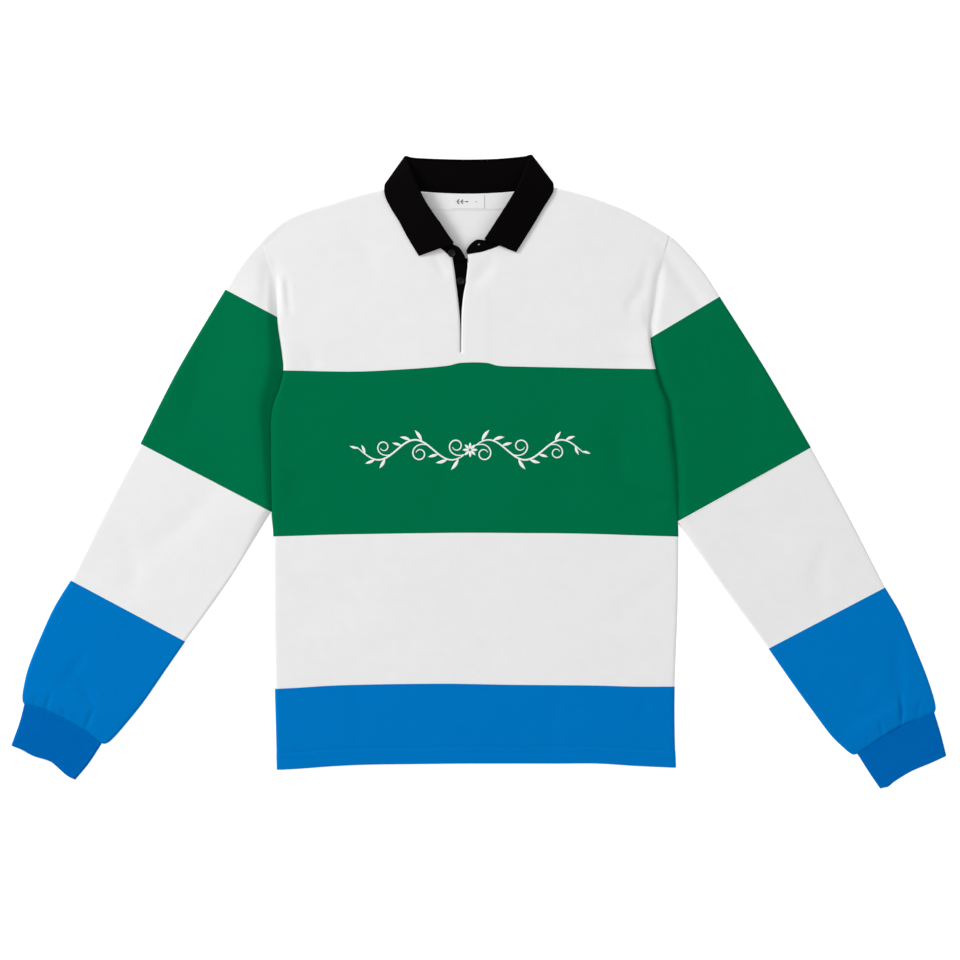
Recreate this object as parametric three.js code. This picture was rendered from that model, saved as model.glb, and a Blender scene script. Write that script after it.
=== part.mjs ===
// A long-sleeved rugby shirt laid flat, face up: millimetres, +Z up, hem towards -Y.
// The underside rests on z = 0. +X is the right of the picture, the wearer's left.
// Every panel is a thin wall: a sheet of middle points moved half its thickness out and in.
import * as THREE from "three";

// Thickness of each cloth
const JERSEY = 1.4;
const HEM_FOLD = 2.2;
const CUFF_RIB = 2.2;
const COLLAR_RIB = 1.6;
const BUTTON_BAND = 1.3;
const LABEL = 1.0;

// Gap left at every seam, and where the back's flap and the tip of the sleeve cap need more
const SEAM = 0.3;
const FLAP_GAP = 0.5;
const CAP_TIP_GAP = 0.6;

// Heights of the middle of the cloth: back panels, front panels, sleeve tops, side seams
const BACK_MID = JERSEY / 2;
const FRONT_MID = 4.4;
const SLEEVE_MID = 4.2;
const SIDE_MID = (BACK_MID + FRONT_MID) / 2;

// How wide the cloth rounds over at a fold, the tightest turn as a share of its thickness, and
// how far a seam sinks into it
const ROLL = 3.0;
const TIGHTEST_TURN = 0.58;
const SEAM_DIP = 0.5;

// Share of a crease's depth that is left at its ends
const CREASE_ENDS = 0.4;

// The sleeve dips this far under the body's edge, and comes back up over this width
const ARMHOLE_MID = 2.6;
const ARMHOLE_SOFT_MID = 3.4;
const ARMHOLE_DIP = 18;

// The armhole edge turns from rolled to soft between these distances below the shoulder point
const ARMHOLE_FADE = 105;
const ARMHOLE_SOFT = 8;

// The lower band sinks this far at the underarm, over this share of its way to the next seam
const UNDERARM_DIP = 1.2;
const UNDERARM_FADE = 0.4;

// Height of the middle of the cuff's upper layer over that of its lower one
const CUFF_RISE = 3.4;

const COLOURS = {
  white: 0xe8e8e6,
  green: 0x00703f,
  blue: 0x0073c0,
  cuff: 0x0060af,
  black: 0x0b0b0c,
  rubber: 0x26272a,
  label: 0xf1f1ef,
};

// Side outline of the body, from hem to shoulder point: height, left edge, right edge
const SIDES = [
  [-358, -242.5, 236.5],
  [-315, -243.5, 235.0],
  [-257, -245.0, 235.0],
  [-160, -246.8, 238.5],
  [-77, -247.0, 239.5],
  [-50, -249.0, 238.5],
  [9, -250.0, 235.5],
  [40, -250.3, 231.5],
  [63, -250.3, 228.5],
  [82, -247.0, 227.0],
  [102, -239.5, 218.5],
  [123, -235.0, 212.5],
  [142, -236.5, 208.5],
  [159, -239.0, 206.0],
  [176, -241.5, 205.5],
  [201, -243.0, 209.5],
  [231, -246.0, 213.5],
  [250, -252.0, 218.5],
  [281, -261.0, 227.0],
];

// Seams across the body: x, hem edge, hem band top, waist band top, chest band top
const SEAMS = [
  [-250, -357.5, -260.0, -77.0, 122.5],
  [-216, -355.7, -258.3, -76.0, 122.0],
  [-180, -353.0, -256.0, -74.8, 121.2],
  [-139, -351.0, -254.7, -74.0, 121.2],
  [-86, -350.2, -253.8, -73.2, 124.0],
  [-52, -349.8, -253.5, -72.8, 126.5],
  [-35, -349.6, -253.5, -72.6, 128.5],
  [-22, -349.5, -253.7, -72.5, 131.5],
  [9, -349.5, -254.3, -72.5, 131.5],
  [23, -349.5, -254.6, -72.6, 128.0],
  [47, -349.5, -254.9, -72.8, 127.0],
  [95, -349.5, -255.3, -73.1, 126.0],
  [143, -349.5, -255.8, -74.0, 125.0],
  [188, -352.3, -257.0, -75.5, 124.2],
  [240, -354.7, -257.0, -77.0, 123.5],
];

// Top edge of the front yoke: the forward shoulder seams and the neckline between them
const FRONT_TOP = [
  [-262, 269.5],
  [-222, 299.0],
  [-207, 302.5],
  [-188, 304.5],
  [-154, 309.5],
  [-130, 311.5],
  [-90, 311.5],
  [-81.5, 297.0],
  [-69.5, 283.5],
  [-56.5, 274.0],
  [-45, 268.0],
  [-32, 258.0],
  [-14, 261.5],
  [5, 265.0],
  [25.5, 272.5],
  [45.5, 286.0],
  [57.5, 298.0],
  [66, 319.5],
  [107, 321.5],
  [131, 322.5],
  [150, 316.0],
  [169, 306.0],
  [193, 298.0],
  [211, 287.0],
  [228, 275.5],
];

// Fold along the top of each shoulder, and the back neckline between them
const SHOULDER_LEFT = [
  [-261, 279.5],
  [-252, 288.5],
  [-234, 303.0],
  [-207, 315.0],
  [-176, 324.0],
  [-153, 331.5],
  [-123, 339.0],
  [-98.5, 343.5],
];
const SHOULDER_RIGHT = [
  [74.5, 345.0],
  [105, 339.0],
  [132, 331.5],
  [152, 324.5],
  [170, 317.5],
  [186, 310.0],
  [211, 295.5],
  [227, 285.5],
];
const BACK_NECK = [
  [-99.8, 340.0],
  [-88, 338.0],
  [-70, 336.5],
  [-40, 335.0],
  [-10, 334.5],
  [20, 335.5],
  [50, 337.5],
  [65, 339.5],
  [75.3, 341.4],
];

// Slit of the placket: height, left edge, right edge
const SLIT = [
  [110, -22.1, -21.3],
  [144, -22.1, -21.3],
  [177, -22.5, -21.0],
  [193, -23.6, -20.6],
  [210, -25.3, -19.0],
  [226, -27.3, -16.2],
  [240, -29.0, -14.4],
  [248, -30.2, -13.6],
  [262, -32.4, -13.8],
];

const NECK_LEFT = -90;
const NECK_RIGHT = 66;
const POINT_LEFT = -98.5;
const POINT_RIGHT = 74.5;

// Rows of each band, as shares of its height at the left and the right side
const HEM_ROWS = [
  [0, 0],
  [0.2, 0.2],
  [0.24, 0.24],
  [0.6, 0.6],
  [0.96, 0.96],
  [1, 1],
];
const WAIST_ROWS = [
  [0, 0],
  [0.025, 0.025],
  [0.33, 0.33],
  [0.67, 0.67],
  [0.975, 0.975],
  [1, 1],
];
const CHEST_ROWS = [
  [0, 0],
  [0.02, 0.02],
  [0.148, 0.09],
  [0.33, 0.3],
  [0.51, 0.51],
  [0.66, 0.66],
  [0.76, 0.76],
  [0.87, 0.87],
  [0.98, 0.98],
  [1, 1],
];
const YOKE_ROWS = [
  [0, 0],
  [0.03, 0.03],
  [0.106, 0.08],
  [0.24, 0.15],
  [0.392, 0.222],
  [0.55, 0.42],
  [0.7, 0.62],
  [0.85, 0.81],
  [1, 1],
];
const UNDERARM_ROW = 2;
const STRIPE_ROW = 4;
const SLIT_ROW = 2;

// Each sleeve: the fold over the cap from shoulder point to stripe, the fold halfway down the
// upper band, then the lines across the sleeve, as outer x, y, inner x, y and upward bow.
// The lines are: underarm, mid lower band, lower band seam, mid wrist, low wrist, cuff seam.
const SLEEVES = {
  left: {
    cap: [
      [-260.6, 279.2],
      [-269.0, 270.5],
      [-281.0, 256.5],
      [-293.0, 239.5],
      [-304.5, 219.5],
    ],
    upper: [-361.0, 124.0],
    lines: [
      [-406.5, 34.5, -249.6, -47.4, 0],
      [-448.5, -45.0, -299.5, -129.0, 0],
      [-490.0, -129.5, -352.5, -203.0, 0],
      [-524.5, -193.5, -400.0, -272.0, 0],
      [-545.5, -246.0, -433.0, -311.0, 3],
      [-548.0, -278.5, -449.0, -326.0, 8],
    ],
    cuff: [
      [-547.3, -279.3, -452.4, -325.0, 8.0],
      [-552.5, -302.0, -468.0, -349.0, 5.5],
      [-561.0, -328.5, -485.5, -368.0, 3.6],
    ],
  },
  right: {
    cap: [
      [227.2, 284.8],
      [235.5, 279.0],
      [252.5, 261.5],
      [271.5, 238.5],
      [289.0, 211.0],
    ],
    upper: [344.5, 123.0],
    lines: [
      [398.5, 30.0, 239.0, -61.0, 0],
      [443.0, -51.0, 293.0, -137.5, 0],
      [487.5, -138.0, 347.5, -211.5, 0],
      [520.5, -202.5, 397.5, -282.5, 0],
      [542.0, -255.5, 432.0, -325.5, 2],
      [548.0, -287.0, 452.0, -340.0, 5],
    ],
    cuff: [
      [547.1, -287.9, 454.3, -339.2, 5.0],
      [554.5, -313.0, 469.0, -361.5, 2.5],
      [561.7, -340.5, 482.5, -380.4, 2.0],
    ],
  },
};

// Largest folds: from x, y to x, y, half width, rise of the cloth (less than nothing is a trough)
const FOLDS = [
  [-240, 247, -228, 190, 5, -1.0],
  [-232, 246, -219, 196, 6, 0.8],
  [202, 256, 180, 204, 6, -1.0],
  [180, 206, 182, 166, 5, -0.9],
  [196, 292, 224, 262, 9, -0.9],
  [224, 262, 266, 206, 10, -1.0],
  [161, 40, 180, -16, 12, -0.9],
  [178, -12, 226, -40, 9, -0.8],
  [166, 142, 208, 130, 8, -0.7],
  [-55, 255, -39, 232, 5, -0.6],
  [-487, -250, -457, -278, 7, -0.8],
  [-478, -262, -468, -306, 4, 0.7],
  [-524, -262, -519, -284, 4, -0.7],
  [507, -262, 508, -300, 4, -0.9],
  [515, -262, 517, -296, 4, 0.6],
  [483, -290, 486, -312, 4, -0.7],
];

// Collar: neck seam x, y, z; roll x, y, z; edge of the leaf x, y, z, from front left to front right
const COLLAR = [
  [-44.7, 268.4, 4.7, -29.5, 275.5, 8.5, -72.0, 259.5, 6.6],
  [-56.2, 274.4, 4.7, -36.5, 285.0, 10.0, -78.5, 270.0, 6.6],
  [-69.2, 283.9, 4.7, -45.5, 298.5, 11.5, -86.5, 283.5, 6.6],
  [-81.1, 297.3, 4.7, -55.5, 312.5, 12.5, -95.5, 300.5, 6.6],
  [-89.4, 311.8, 4.7, -65.5, 328.5, 12.5, -104.5, 315.0, 6.6],
  [-92.8, 326.0, 4.7, -74.5, 348.0, 11.5, -111.5, 328.5, 6.6],
  [-95.6, 337.0, 4.2, -82.5, 367.5, 9.5, -113.6, 338.0, 6.4],
  [-97.0, 342.4, 2.6, -86.4, 378.6, 7.6, -112.0, 346.5, 3.8],
  [-92.0, 341.0, 1.4, -81.0, 377.8, 7.2, -103.0, 348.0, 1.5],
  [-80.0, 338.6, 1.0, -70.0, 376.8, 7.0, -88.0, 347.0, 0.9],
  [-50.0, 336.3, 1.0, -45.0, 375.8, 6.8, -53.0, 345.6, 0.8],
  [-12.0, 335.2, 1.0, -12.5, 375.2, 6.8, -12.0, 345.0, 0.8],
  [25.0, 336.5, 1.0, 20.0, 376.0, 6.8, 27.0, 345.8, 0.8],
  [56.0, 339.3, 1.0, 45.0, 378.0, 7.0, 64.0, 347.8, 0.9],
  [68.5, 342.3, 1.4, 55.5, 379.2, 7.2, 79.0, 349.5, 1.5],
  [72.9, 343.9, 2.6, 60.9, 380.0, 7.6, 88.0, 348.0, 3.8],
  [71.0, 338.5, 4.2, 56.5, 368.5, 9.5, 89.6, 340.0, 6.4],
  [68.0, 328.5, 4.7, 48.0, 347.5, 11.5, 87.0, 332.5, 6.6],
  [65.4, 319.8, 4.7, 38.5, 330.5, 12.5, 79.0, 320.0, 6.6],
  [57.0, 298.4, 4.7, 28.5, 314.5, 12.5, 69.5, 304.0, 6.6],
  [45.2, 286.5, 4.7, 19.5, 300.5, 11.5, 60.0, 288.5, 6.6],
  [36.0, 280.1, 4.7, 12.0, 289.0, 10.0, 51.5, 275.0, 6.6],
  [25.2, 273.0, 4.7, 6.0, 280.0, 8.5, 44.5, 264.0, 6.6],
];

// Ends of the stand past the leaf: neck seam x, y, z; top edge x, y, z, tip first
const STAND_LEFT_END = [
  [-27.0, 254.8, 5.2, -14.5, 253.0, 5.9],
  [-31.4, 258.4, 5.0, -18.0, 261.5, 6.3],
  [-38.3, 263.8, 4.8, -24.0, 270.0, 7.3],
];
const STAND_RIGHT_END = [
  [-14.6, 262.9, 5.0, -15.2, 266.0, 5.5],
  [-12.0, 262.6, 5.0, -12.8, 270.5, 5.8],
  [-4.0, 263.9, 4.9, -8.5, 275.5, 6.2],
  [4.9, 265.6, 4.8, -2.0, 279.2, 6.9],
];

// Button band under the slit: height, left edge, right edge
const BAND_UNDER = [
  [128, -30, 4],
  [200, -34, 2],
  [257, -39, -3],
];
const BAND_MID = 2.55;

// Neck label: left, right, bottom, top
const LABEL_BOX = [-32.5, 6.5, 316.5, 333.0];

// Buttons: x, y, height of their underside
const BUTTON_RADIUS = 4.6;
const BUTTON_THICK = 2.4;
const BUTTON_EDGE = 0.5;
const BUTTON_RIM = 1.3;
const BUTTON_DISH = 0.6;
const BUTTON_SIDES = 14;
const BUTTON_NECK = [-32.4, 262.8, 7.1];
const BUTTON_PLACKET = [-21.9, 229.7, 3.6];
const BUTTON_NECK_TILT = [-0.12, -0.12, 1];

const mix = (a, b, t) => a + (b - a) * t;
const clamp = (t) => Math.min(1, Math.max(0, t));
const ease = (t) => clamp(t) * clamp(t) * (3 - 2 * clamp(t));

// Reads a table as straight lines between its rows
function straight(rows, column = 1) {
  return (x) => {
    let i = 1;
    while (i < rows.length - 1 && rows[i][0] < x) i++;
    const [a, b] = [rows[i - 1], rows[i]];
    return mix(a[column], b[column], (x - a[0]) / (b[0] - a[0]));
  };
}

// Reads a table as a smooth curve through its rows
function smooth(rows, column = 1) {
  const slope = (i) => {
    const a = rows[Math.max(i - 1, 0)];
    const b = rows[Math.min(i + 1, rows.length - 1)];
    return (b[column] - a[column]) / (b[0] - a[0]);
  };
  return (x) => {
    let i = 1;
    while (i < rows.length - 1 && rows[i][0] < x) i++;
    const [a, b] = [rows[i - 1], rows[i]];
    const run = b[0] - a[0];
    const t = (x - a[0]) / run;
    if (t < 0) return a[column] + slope(i - 1) * run * t;
    if (t > 1) return b[column] + slope(i) * run * (t - 1);
    const bend = slope(i - 1) * run * t * (1 - t) * (1 - t) - slope(i) * run * t * t * (1 - t);
    return mix(a[column], b[column], t * t * (3 - 2 * t)) + bend;
  };
}

// A point on a smooth line through a list of number rows, at t from 0 to 1
function along(rows, t) {
  const place = clamp(t) * (rows.length - 1);
  const i = Math.min(Math.floor(place), rows.length - 2);
  const f = place - i;
  const at = (k) => rows[Math.min(Math.max(k, 0), rows.length - 1)];
  return rows[i].map((value, c) => {
    const [p, q, r, s] = [at(i - 1)[c], value, at(i + 1)[c], at(i + 2)[c]];
    const cubic = (3 * q - p - 3 * r + s) * f * f * f;
    return q + ((r - p) * f + (2 * p - 5 * q + 4 * r - s) * f * f + cubic) / 2;
  });
}

// Makes one mesh from points and faces, with the faces turned outwards
function solid(name, points, faces, colour) {
  let volume = 0;
  for (const [a, b, c] of faces) {
    volume += points[a].dot(points[b].clone().cross(points[c]));
  }
  const turned = volume < 0 ? faces.map(([a, b, c]) => [a, c, b]) : faces;
  const geometry = new THREE.BufferGeometry();
  const numbers = turned.flat().flatMap((k) => points[k].toArray());
  geometry.setAttribute("position", new THREE.Float32BufferAttribute(numbers, 3));
  geometry.computeVertexNormals();
  const rough = colour === "rubber" ? 0.5 : 0.9;
  const finish = { color: COLOURS[colour], roughness: rough, metalness: 0 };
  const mesh = new THREE.Mesh(geometry, new THREE.MeshStandardMaterial(finish));
  mesh.name = name;
  return mesh;
}

// A closed wall round a sheet of middle points. thickness(i, j) gives its thickness, ring joins
// the last column to the first, and gone(i, j) leaves out the cell above row i, right of column j.
function wall(name, sheet, thickness, colour, { ring = false, gone = () => false } = {}) {
  const rows = sheet.length;
  const columns = sheet[0].length;
  const cells = ring ? columns : columns - 1;
  const present = (i, j) => {
    if (i < 0 || i >= rows - 1) return false;
    if (!ring && (j < 0 || j >= cells)) return false;
    return !gone(i, (j + cells) % cells);
  };
  const id = (i, j) => i * columns + (j % columns);
  const at = (k) => sheet[Math.floor(k / columns)][k % columns];
  const normals = new Map();
  const corners = (i, j) => [id(i, j), id(i, j + 1), id(i + 1, j + 1), id(i + 1, j)];
  const quads = [];
  for (let i = 0; i < rows - 1; i++) {
    for (let j = 0; j < cells; j++) {
      if (!present(i, j)) continue;
      const quad = corners(i, j);
      quads.push([i, j, quad]);
      const across = at(quad[2]).clone().sub(at(quad[0]));
      const up = at(quad[3]).clone().sub(at(quad[1]));
      const face = across.cross(up).normalize();
      for (const k of quad) {
        if (!normals.has(k)) normals.set(k, new THREE.Vector3());
        normals.get(k).add(face);
      }
    }
  }
  const points = [];
  const outer = new Map();
  const inner = new Map();
  for (const [k, sum] of normals) {
    const half = thickness(Math.floor(k / columns), k % columns) / 2;
    const step = sum.normalize().multiplyScalar(half);
    outer.set(k, points.push(at(k).clone().add(step)) - 1);
    inner.set(k, points.push(at(k).clone().sub(step)) - 1);
  }
  const faces = [];
  for (const [i, j, [a, b, c, d]] of quads) {
    faces.push([outer.get(a), outer.get(b), outer.get(c)], [outer.get(a), outer.get(c), outer.get(d)]);
    faces.push([inner.get(a), inner.get(c), inner.get(b)], [inner.get(a), inner.get(d), inner.get(c)]);
    const sides = [
      [a, b, present(i - 1, j)],
      [b, c, present(i, j + 1)],
      [c, d, present(i + 1, j)],
      [d, a, present(i, j - 1)],
    ];
    for (const [p, q, joined] of sides) {
      if (joined) continue;
      faces.push([outer.get(q), outer.get(p), inner.get(p)], [outer.get(q), inner.get(p), inner.get(q)]);
    }
  }
  return solid(name, points, faces, colour);
}

const even = (amount) => () => amount;
const point = (x, y, z) => new THREE.Vector3(x, y, z);

// Rise or fall of the cloth at a place, from the table of folds
function folds(x, y) {
  let rise = 0;
  for (const [x1, y1, x2, y2, width, height] of FOLDS) {
    const [dx, dy] = [x2 - x1, y2 - y1];
    const t = ((x - x1) * dx + (y - y1) * dy) / (dx * dx + dy * dy);
    const near = clamp(t);
    const off = Math.hypot(x - x1 - near * dx, y - y1 - near * dy) / width;
    rise += height * Math.exp(-off * off) * mix(CREASE_ENDS, 1, Math.sin(Math.PI * near));
  }
  return rise;
}

// The body's side lines and seams, read from the tables
const leftSide = smooth(SIDES, 1);
const rightSide = smooth(SIDES, 2);
const hemEdge = smooth(SEAMS, 1);
const hemTop = smooth(SEAMS, 2);
const waistTop = smooth(SEAMS, 3);
const chestTop = smooth(SEAMS, 4);
const frontTop = straight(FRONT_TOP);
const backChestTop = straight([SEAMS[0], SEAMS.at(-1)], 4);
const slitLeft = smooth(SLIT, 1);
const slitRight = smooth(SLIT, 2);

// Place on a band of the body: its column gives x at a height, its row a share of the height
function placeOn(band, column, row) {
  let y = mix(band.bottom(0), band.top(0), row[0]);
  let x = 0;
  for (let pass = 0; pass < 12; pass++) {
    x = column(y);
    const u = clamp((x - leftSide(y)) / (rightSide(y) - leftSide(y)));
    const share = mix(row[0], row[1], u);
    const low = band.bottom(x) + (band.openBottom ? 0 : SEAM / 2);
    y = mix(low, band.top(x) - SEAM / 2, share);
  }
  return [x, y];
}

const BANDS = {
  hem: { bottom: hemEdge, top: hemTop, rows: HEM_ROWS, openBottom: true },
  waist: { bottom: hemTop, top: waistTop, rows: WAIST_ROWS },
  chest: { bottom: waistTop, top: chestTop, rows: CHEST_ROWS },
  yoke: { bottom: chestTop, top: frontTop, rows: YOKE_ROWS },
};

// Steps in from a side edge: plan distance and share of the rise, for a rolled edge and a soft one
const ROLLED = [
  [JERSEY / 2, 0],
  [JERSEY / 2, 0.14],
  [JERSEY / 2 + 0.08 * ROLL, 0.45],
  [JERSEY / 2 + 0.4 * ROLL, 0.82],
  [JERSEY / 2 + ROLL, 1],
];
const SOFT = [
  [SEAM / 2, 0],
  [1.0, 0.25],
  [2.0, 0.55],
  [3.0, 0.8],
  [4.2, 1],
];
const EDGE_STEPS = ROLLED.length;
const EDGE_WIDTH = 6;

// Columns of a panel: four steps in from each side, and shares of the spans between guides
function columnsOf(guides, shares) {
  const columns = [];
  for (let k = 0; k < EDGE_STEPS; k++) columns.push({ side: -1, step: k, x: leftSide });
  guides.slice(1).forEach((right, span) => {
    const left = guides[span];
    for (const share of shares[span]) {
      const from = (y) => left(y) + (span === 0 ? EDGE_WIDTH : 0);
      const to = (y) => right(y) - (span === guides.length - 2 ? EDGE_WIDTH : 0);
      columns.push({ side: 0, x: (y) => mix(from(y), to(y), share) });
    }
  });
  for (let k = EDGE_STEPS - 1; k >= 0; k--) columns.push({ side: 1, step: k, x: rightSide });
  return columns;
}

const shoulderPoint = { left: SHOULDER_LEFT[0][1], right: SHOULDER_RIGHT.at(-1)[1] };

// How soft the armhole edge is: 0 where the edge rolls over, 1 at the shoulder point
function softness(side, y) {
  const top = side < 0 ? shoulderPoint.left : shoulderPoint.right;
  return ease((y - top + ARMHOLE_FADE) / (ARMHOLE_FADE - ARMHOLE_SOFT));
}

// Front panels

const frontGuides = [leftSide, () => NECK_LEFT, slitLeft, slitRight, () => NECK_RIGHT, rightSide];
const frontShares = [
  [0, 0.25, 0.5, 0.76],
  [0, 0.147, 0.353, 0.578, 0.776, 1],
  [],
  [0, 0.238, 0.494, 0.744, 0.894, 1],
  [0.24, 0.48, 0.74, 1],
];
const frontColumns = columnsOf(frontGuides, frontShares);
const SLIT_COLUMN = frontColumns.findIndex((column) => column.x(200) > -23);

function frontMid(x, y) {
  return FRONT_MID + folds(x, y);
}

// Middle point of a front panel in one of its columns and rows
function frontPoint(band, column, i, thick) {
  const seam = i === band.rows.length - 1 || (i === 0 && !band.openBottom);
  const dip = seam ? SEAM_DIP : 0;
  const [atX, atY] = placeOn(band, column.x, band.rows[i]);
  if (column.side === 0) return point(atX, atY, frontMid(atX, atY) - dip - (thick - JERSEY) / 2);
  const soft = softness(column.side, atY);
  const [rolledIn, rolledRise] = ROLLED[column.step];
  const [softIn, softRise] = SOFT[column.step];
  const inward = mix(rolledIn, softIn, soft);
  const low = mix(SIDE_MID + SEAM / 2, ARMHOLE_SOFT_MID, soft);
  const z = mix(low, FRONT_MID - dip / 2, mix(rolledRise, softRise, soft));
  const [x, y] = placeOn(band, (height) => column.x(height) - column.side * inward, band.rows[i]);
  return point(x, y, z);
}

function frontPanel(name, band, colour, thick = () => JERSEY, slit = false) {
  const sheet = band.rows.map((row, i) =>
    frontColumns.map((column) => frontPoint(band, column, i, thick(i))),
  );
  const thickness = (i, j) => (frontColumns[j].side === 0 ? thick(i) : JERSEY);
  const gone = (i, j) => slit && j === SLIT_COLUMN - 1 && i >= SLIT_ROW;
  return wall(name, sheet, thickness, colour, { gone });
}

const hemThickness = (i) => (i <= 1 ? HEM_FOLD : JERSEY);

// Back panels: flat on the floor, with the sides turned up to the side seams below the underarm

const backGuides = [leftSide, () => POINT_LEFT, () => POINT_RIGHT, rightSide];
const backShares = [
  [0, 0.3, 0.56, 0.8],
  [0, 0.1, 0.3, 0.5, 0.7, 0.9, 1],
  [0.2, 0.44, 0.7, 1],
];
const backColumns = columnsOf(backGuides, backShares);

const backBand = {
  hem: BANDS.hem,
  waist: BANDS.waist,
  chest: { ...BANDS.chest, top: backChestTop },
};

// Share by which the side of the back is turned up to the side seam in each row
function turnedUp(bandName, i) {
  if (bandName !== "chest" || i === 0) return 1;
  if (i < UNDERARM_ROW) return 0.85;
  return i === UNDERARM_ROW ? 0.3 : 0;
}

function backEdge(column, x, y, turned) {
  const [rolledIn, rolledRise] = ROLLED[column.step];
  const inward = mix(SOFT[column.step][0], rolledIn, turned);
  const z = mix(BACK_MID, mix(SIDE_MID - SEAM / 2, BACK_MID, rolledRise), turned);
  return point(x - column.side * inward, y, z);
}

function backPanel(bandName, colour, thick = () => JERSEY) {
  const band = backBand[bandName];
  const sheet = band.rows.map((row, i) =>
    backColumns.map((column) => {
      const [x, y] = placeOn(band, column.x, row);
      if (column.side === 0) return point(x, y, thick(i) / 2);
      return backEdge(column, x, y, turnedUp(bandName, i));
    }),
  );
  const thickness = (i, j) => (backColumns[j].side === 0 ? thick(i) : JERSEY);
  return wall(`back_${bandName}_band`, sheet, thickness, colour);
}

// Half height and width of a fold between a lower and an upper height of the cloth
function rollOf(low, high, thick) {
  const rise = (high - low) / 2;
  return { rise, reach: Math.min(ROLL, (rise * rise) / (thick * TIGHTEST_TURN)) };
}

// Angles of the steps round a fold, between its lower and its upper end
const ROLL_ANGLES = [-60, -20, 20, 60].map((degrees) => (degrees * Math.PI) / 180);

// The back yoke: up the back, over each shoulder fold and down to the forward shoulder seam
function backYoke() {
  const shoulderLeft = smooth(SHOULDER_LEFT);
  const shoulderRight = smooth(SHOULDER_RIGHT);
  const backNeck = straight(BACK_NECK);
  const foldAt = (x) => (x < 0 ? shoulderLeft(x) : shoulderRight(x));
  const inNeck = (x) => x > POINT_LEFT + 0.01 && x < POINT_RIGHT - 0.01;
  const outward = (x) => new THREE.Vector3(foldAt(x) - foldAt(x + 1), 1, 0).normalize();
  const belowFold = (x) => foldAt(x) - (2 * ROLL + JERSEY) / outward(x).y;
  const top = (x) => (inNeck(x) ? backNeck(x) : belowFold(x)) + SEAM / 2;
  const band = { bottom: backChestTop, top, rows: YOKE_ROWS };
  const last = YOKE_ROWS.length - 1;
  const sheet = YOKE_ROWS.map((row, i) =>
    backColumns.map((column) => {
      if (column.side === 0) return point(...placeOn(band, column.x, row), BACK_MID);
      return backEdge(column, ...armholePoint(column.side, "yoke", i), 0);
    }),
  );

  // Over the shoulders: where each column meets the fold, which way it rolls and where it ends
  const count = backColumns.length;
  const over = backColumns.map((column, j) => {
    const base = sheet[last][j];
    if (inNeck(base.x)) return null;
    const partner = j < count / 2 ? j : j - count + frontColumns.length;
    const end = frontPoint(BANDS.yoke, frontColumns[partner], last, JERSEY);
    end.y += FLAP_GAP;
    const armTop = column.side < 0 ? SHOULDER_LEFT[0][0] : SHOULDER_RIGHT.at(-1)[0];
    const x = column.side === 0 ? base.x : armTop - column.side * SOFT[column.step][0];
    const tip = point(x, foldAt(x), 0);
    const along = tip.clone().sub(base).setZ(0).normalize();
    const turn = column.side === 0 ? 1 : column.step / EDGE_STEPS;
    const out = along.lerp(outward(x), turn).normalize();
    const { rise, reach } = rollOf(BACK_MID, end.z + SEAM_DIP, JERSEY);
    const start = tip.clone().addScaledVector(out, -reach - JERSEY / 2);
    return { out, rise, reach, start, end };
  });
  const addRow = (place) => sheet.push(over.map((shape, j) => (shape ? place(shape) : sheet[last][j])));
  for (const angle of [-Math.PI / 2, ...ROLL_ANGLES, Math.PI / 2]) {
    addRow(({ out, rise, reach, start }) => {
      const z = BACK_MID + rise * (1 + Math.sin(angle));
      return start.clone().addScaledVector(out, reach * Math.cos(angle)).setZ(z);
    });
  }
  for (const share of [0.5, 1]) {
    addRow(({ rise, start, end }) => {
      const from = start.clone().setZ(BACK_MID + 2 * rise);
      const at = from.clone().lerp(end, share);
      return share === 1 ? at : at.setZ(from.z);
    });
  }
  const gone = (i, j) => i >= last && (!over[j] || !over[j + 1]);
  return wall("back_yoke", sheet, even(JERSEY), "white", { gone });
}

// Points of the armhole edge at the panel rows, shared by the body and the sleeve
function armholePoint(side, bandName, i) {
  const band = BANDS[bandName];
  const edge = side < 0 ? leftSide : rightSide;
  return placeOn(band, edge, band.rows[i]);
}

// One line across a sleeve as a row of its sheet. The cloth runs from the inner end over the top to
// the outer fold and back along the floor; a ring also has a fold at its inner end.
const SLEEVE_SHARES = [0, 0.04, 0.12, 0.26, 0.42, 0.6, 0.8, 1];
const SLEEVE_BACK_SHARES = [1, 0.5, 0.12, 0];

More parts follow.
